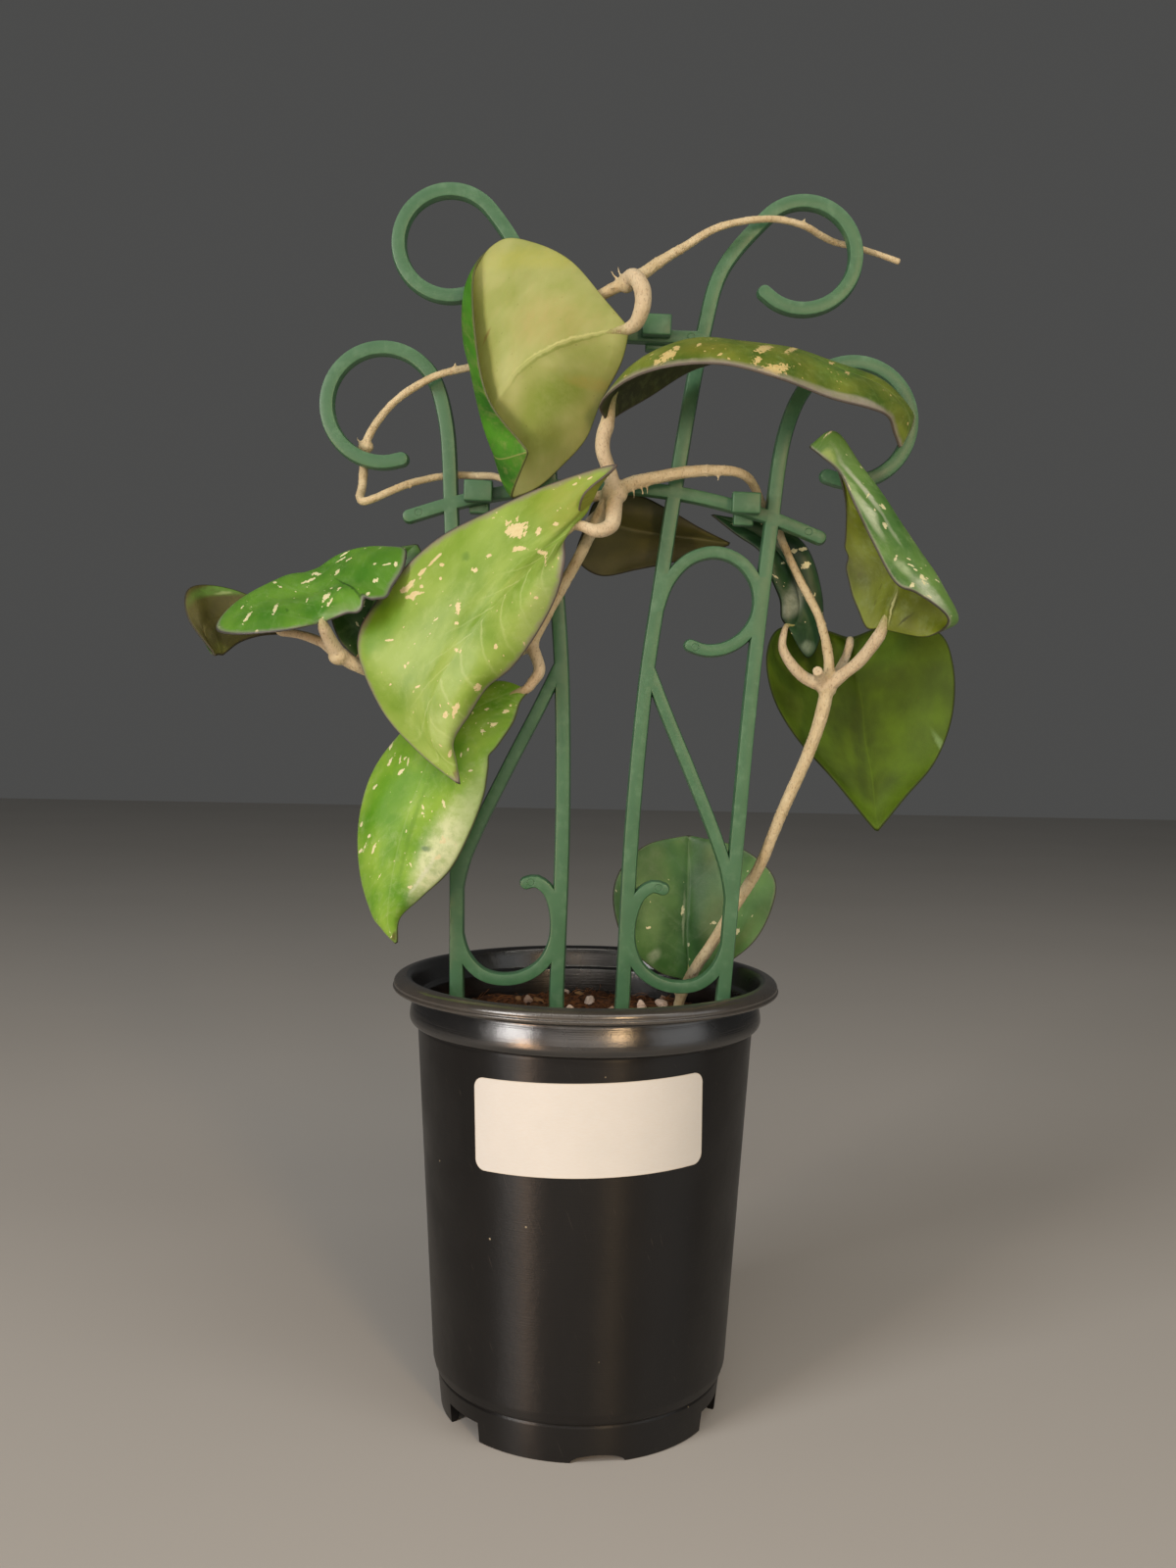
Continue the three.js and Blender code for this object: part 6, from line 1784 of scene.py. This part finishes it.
def make_blade(name, spec, upper, seed):
    """One thick waxy leaf: rounded rim, sunk midrib on its upper side and a raised one below."""
    columns = blade_columns(spec)
    u = np.linspace(0, 1, BLADE_ROWS + 1)
    v = np.sin(np.linspace(-1, 1, 2 * BLADE_CELLS + 1) * math.pi / 2 * RIM_CROWDING)
    v /= math.sin(math.pi / 2 * RIM_CROWDING)
    skin, width, along = blade_skin(spec, u, v)
    if "ease" in spec:
        normals = np.cross(np.gradient(skin, axis=0), np.gradient(skin, axis=1))
    else:
        above = blade_grid(columns, np.minimum(u + STEP_ALONG, 1), v)
        below = blade_grid(columns, np.maximum(u - STEP_ALONG, 0), v)
        right = blade_grid(columns, u, np.minimum(v + STEP_ACROSS, 1))
        left = blade_grid(columns, u, np.maximum(v - STEP_ACROSS, -1))
        normals = np.cross(above - below, right - left)
    normals /= np.maximum(np.linalg.norm(normals, axis=2), 1e-9)[:, :, None]

    to_side = np.minimum(width[:, -1][:, None] - width, width - width[:, 0][:, None])
    to_end = np.minimum(along, along[-1] - along)[:, None] * np.ones_like(width)
    rim_gap = np.minimum(to_side, to_end)

    s = np.abs(v)[None, :]
    half = (RIB_THICKNESS + (MARGIN_THICKNESS - RIB_THICKNESS) * s) / 2 * np.ones_like(width)
    edge = np.clip(rim_gap / RIM_ROUNDING, 0, 1)
    half = half * np.sqrt(1 - (1 - edge) ** 2)
    taper = np.clip(np.sin(np.pi * np.clip(0.06 + 0.94 * u, 0, 1)) * 1.6, 0, 1)[:, None]
    fade = (1 - 0.65 * u[:, None]) * (1 - 0.6 * spec.get("ease", 0))
    rib = np.exp(-((width / (RIB_WIDTH * fade + 0.25)) ** 2)) * taper * fade
    veins = side_veins(width, along[:, None], taper)
    wave = ripple(width, along[:, None] * np.ones_like(width), seed)
    wave = wave * np.clip(to_side / 6, 0, 1) * taper
    raised = half + np.where(edge > 0.6, RIB_RAISED * rib + VEIN_RAISED * veins, 0)
    sunk = half - np.where(edge > 0.6, RIB_SUNK * rib + VEIN_SUNK * veins, 0)
    front_half, back_half = (sunk, raised) if upper > 0 else (raised, sunk)
    front = skin + normals * (front_half + wave)[:, :, None]
    back = skin - normals * (back_half - wave)[:, :, None]

    points = np.vstack([front.reshape(-1, 3), back.reshape(-1, 3)])
    faces = plate_faces(BLADE_ROWS + 1, 2 * BLADE_CELLS + 1)
    leaf = make_piece(name, points, faces)
    grid = np.ones_like(width)
    blade = np.stack([width, along[:, None] * grid, grid], 2)
    shape = np.stack([v[None, :] * grid, u[:, None] * grid, rim_gap], 2)
    front_side = 1.0 if upper > 0 else 0.0
    sides = [(blade * (1, 1, side)).reshape(-1, 3) for side in (front_side, 1 - front_side)]
    store(leaf, "blade", np.vstack(sides))
    store(leaf, "spot", np.vstack([shape.reshape(-1, 3)] * 2))
    close_up(leaf, 2e-6)
    shade(leaf, 180)
    return leaf


def side_veins(width, along, taper):
    """Faint veins that leave the midrib every few millimetres and bend towards the tip."""
    reach = np.abs(width)
    side = np.where(width < 0, 0.5, 0.0)
    phase = (along - 0.75 * reach - 0.004 * reach**2) / VEIN_SPACING + side
    return np.exp(-(((phase % 1) - 0.5) ** 2) / 0.004) * np.clip(1 - reach / 16, 0, 1) * taper


def ripple(width, along, seed):
    """Slow bumps of the blade, 0.3 mm or so."""
    first = np.sin(width * 0.31 + seed) * np.cos(along * 0.23 + 1.3 * seed)
    second = np.sin(width * 0.17 - along * 0.19 + 2.1 * seed)
    return 0.22 * first + 0.2 * second


# Which side of each drawn blade is its upper side
UPPER_SIDE = {
    "leaf_top": -1, "leaf_front": 1, "leaf_lower_left": 1, "leaf_left": -1, "leaf_far_left": -1,
    "leaf_back_left": -1, "leaf_arching": 1, "leaf_right": 1, "leaf_back_right": -1, "leaf_dark": -1,
    "leaf_centre_back": 1, "leaf_soil": -1,
}
leaves = {}
for number, (node, spec) in enumerate(LEAVES.items()):
    leaves[node] = make_blade("waxy_" + node, spec, UPPER_SIDE[node], 1.7 * number)

vine = make_vine()
shade(vine, 180)

# Soil: a crumbly plug that fills the pot, with bark chips, fibres and white grains on its top
SOIL_TOP = 111.5
SOIL_GAP = 0.4
SOIL_RINGS = 110
SOIL_STEPS = 220


def soil_height(x, y):
    waves = np.sin(0.21 * x + 1.3) * np.cos(0.17 * y + 0.4) + 0.6 * np.sin(0.43 * x - 0.31 * y)
    return SOIL_TOP + 0.9 * waves


def make_soil():
    outer = wall_radius(SOIL_TOP - 3) - WALL - SOIL_GAP
    low = wall_radius(WALL_LOW_Z) - WALL - SOIL_GAP
    bottom = FLOOR_Z + FLOOR_THICKNESS + 0.3
    angles = np.arange(SOIL_STEPS) * 2 * math.pi / SOIL_STEPS
    points = [(0, 0, soil_height(0, 0))]
    for i in range(1, SOIL_RINGS + 1):
        radius = outer * (i / SOIL_RINGS) ** 0.8
        for a in angles:
            x = radius * math.cos(a)
            y = radius * math.sin(a)
            crumb = noise.fractal(Vector((x, y, 0)) / 3.1, 0.8, 2.2, 5)
            grit = noise.noise(Vector((x, y, 5)) / 0.9)
            height = soil_height(x, y) + 0.9 * crumb + 0.35 * grit - 2 * (i / SOIL_RINGS) ** 16
            points.append((x, y, height))
    wall = ((outer - 0.6, 96), (low, WALL_LOW_Z), (low - 1.2, bottom + 2.2), (low - 3.4, bottom))
    for radius, z in wall:
        points += [(radius * math.cos(a), radius * math.sin(a), z) for a in angles]
    points.append((0, 0, bottom))
    rings = SOIL_RINGS + len(wall)
    faces = []
    for j in range(SOIL_STEPS):
        k = (j + 1) % SOIL_STEPS
        faces.append((0, 1 + j, 1 + k))
        for i in range(rings - 1):
            a = 1 + i * SOIL_STEPS
            faces.append((a + j, a + SOIL_STEPS + j, a + SOIL_STEPS + k, a + k))
        last = 1 + (rings - 1) * SOIL_STEPS
        faces.append((last + j, len(points) - 1, last + k))
    piece = make_piece("potting_mix", points, faces)
    close_up(piece)
    return piece


soil = make_soil()
shade(soil, 180)

# Loose bits on the soil: how many for each square metre, seed, sizes in mm, tilt, roughness and finish
SOIL_BITS = [
    {
        "shape": "bark", "density": 4200, "seed": 11, "small": (2.6, 2, 1.2), "large": (7, 4.4, 2.8),
        "tilt": 0.5, "fineness": 2, "rough": 1.4, "rough_scale": 0.35,
        "material": loose_bits("composted pine bark", "#3a2516", "#9a744c", 1.2, 0.85),
    },
    {
        "shape": "grain", "density": 3000, "seed": 23, "small": (1.4, 1.3, 1.1), "large": (5.4, 4.4, 3.6),
        "tilt": 3, "fineness": 2, "rough": 1.7, "rough_scale": 0.6,
        "material": loose_bits("expanded perlite", "#b0907a", "#e6d2c2", 0.8, 0.8),
    },
    {
        "shape": "crumb", "density": 120000, "seed": 37, "small": (0.8, 0.8, 0.7), "large": (2.6, 2.2, 1.8),
        "tilt": 3, "fineness": 1, "rough": 0.8, "rough_scale": 0.9,
        "material": loose_bits("peat crumbs", "#24150c", "#5e3a20", 0.6, 0.95),
    },
    {
        "shape": "fibre", "density": 80000, "seed": 51, "small": (3, 2, 2), "large": (9, 5, 5),
        "tilt": 0.8, "rough": 1.2, "rough_scale": 0.25,
        "material": loose_bits("coir fibre", "#53301a", "#ad713c", 0.5, 0.85),
    },
]
BITS_REACH = 44.5
BITS_LOWEST = 107
soil.data.materials.append(potting_soil())
strewn, strewn_inputs = scatter_tree(SOIL_BITS)
modifier = soil.modifiers.new("strewn bits", "NODES")
modifier.node_group = strewn
modifier[strewn_inputs["Reach"]] = BITS_REACH * MM
modifier[strewn_inputs["Lowest"]] = BITS_LOWEST * MM
bake_modifiers(soil)

# Finishes: the pot's wall, shoulder and rim are one plastic in three finishes. The rim's lighter grey is
# partly wear and partly a painted highlight on the lip.
BLACK = ("#080707", "#131110")
# the rim's lighter grey: partly rubbed wear, partly a painted highlight on the lip
RUBBED_AND_PAINTED_SHEEN = ("#2e2b27", "#47423b")
POT_FINISHES = (
    ("wall", BLACK, 0.35, 0.5, 1.49, 0.88),
    ("shoulder", BLACK, 0.2, 1.0, 1.62, 0.15),
    ("rubbed rim with painted sheen", RUBBED_AND_PAINTED_SHEEN, 0.2, 1.0, 1.62, 0.15),
)
pot.data.materials.clear()
for finish in POT_FINISHES:
    pot.data.materials.append(black_polypropylene(*finish))
# the outer lip gets the rubbed finish, whose lighter grey is partly a painted highlight
for face in pot.data.polygons:
    z = face.center.z / MM
    outward = math.hypot(face.center.x / MM - POT_AXIS_X, face.center.y / MM) > RIM_RADIUS - 4
    face.material_index = int(z > WALL_HIGH_Z + 1) + int(z > POT_HEIGHT - 4 and outward)
settle(pot, "pot")
settle(label, "label", sticker_paper())
settle(trellis, "trellis", green_polyethylene())
settle(vine, "vine", vine_bark())
settle(soil, "soil")
for node, leaf in leaves.items():
    settle(leaf, node, waxy_leaf(node))


def studio_floor():
    """Pale matt sweep under the pot."""
    material, add = blank("matt studio board")
    place = add("TexCoord").outputs["Object"]
    cloud = add("TexNoise", Vector=place, Scale=3.0, Detail=3.0)
    colour = add("Mix", data_type="RGBA", i0=cloud, i6="#c4c1bb", i7="#cecbc6")
    skin = add("BsdfPrincipled", Base_Color=colour, Roughness=0.85)
    add("OutputMaterial", Surface=skin)
    return material


# Floor and light
floor_mesh = bpy.data.meshes.new("floor")
floor_mesh.from_pydata([(-3, -3, 0), (3, -3, 0), (3, 3, 0), (-3, 3, 0)], [], [(0, 1, 2, 3)])
floor = bpy.data.objects.new("floor", floor_mesh)
bpy.context.scene.collection.objects.link(floor)
floor.data.materials.append(studio_floor())


def soft_light(name, place, size, watts, colour):
    data = bpy.data.lights.new(name, "AREA")
    data.shape = "RECTANGLE"
    data.size = size[0]
    data.size_y = size[1]
    data.energy = watts
    data.color = linear(colour)[:3]
    lamp = bpy.data.objects.new(name, data)
    aim = Vector((0, 0, 0.18)) - Vector(place)
    lamp.matrix_world = Matrix.Translation(place) @ aim.to_track_quat("-Z", "Y").to_matrix().to_4x4()
    bpy.context.scene.collection.objects.link(lamp)


soft_light("key", (-0.98, -0.95, 0.54), (0.5, 0.6), 9, "#fffbf8")
soft_light("low left", (-0.66, -0.88, 0.12), (0.08, 0.22), 1.9, "#ffc896")
soft_light("warm", (0.45, -1.1, 0.5), (0.14, 0.3), 2.6, "#ffd39a")
soft_light("front", (0.05, -1.6, 0.5), (1.4, 0.5), 3.6, "#fff3e8")
soft_light("rim strip", (0.1, -0.8, 1.2), (2.4, 0.3), 7.5, "#fff8ee")
soft_light("fill", (1.15, -0.6, 0.5), (0.9, 0.9), 2.2, "#f4f4f4")
world = bpy.data.worlds.new("studio")
world.use_nodes = True
world.node_tree.nodes["Background"].inputs["Color"].default_value = linear("#e6e6e4")
world.node_tree.nodes["Background"].inputs["Strength"].default_value = 0.09
bpy.context.scene.world = world
bpy.context.scene.view_settings.view_transform = "Standard"
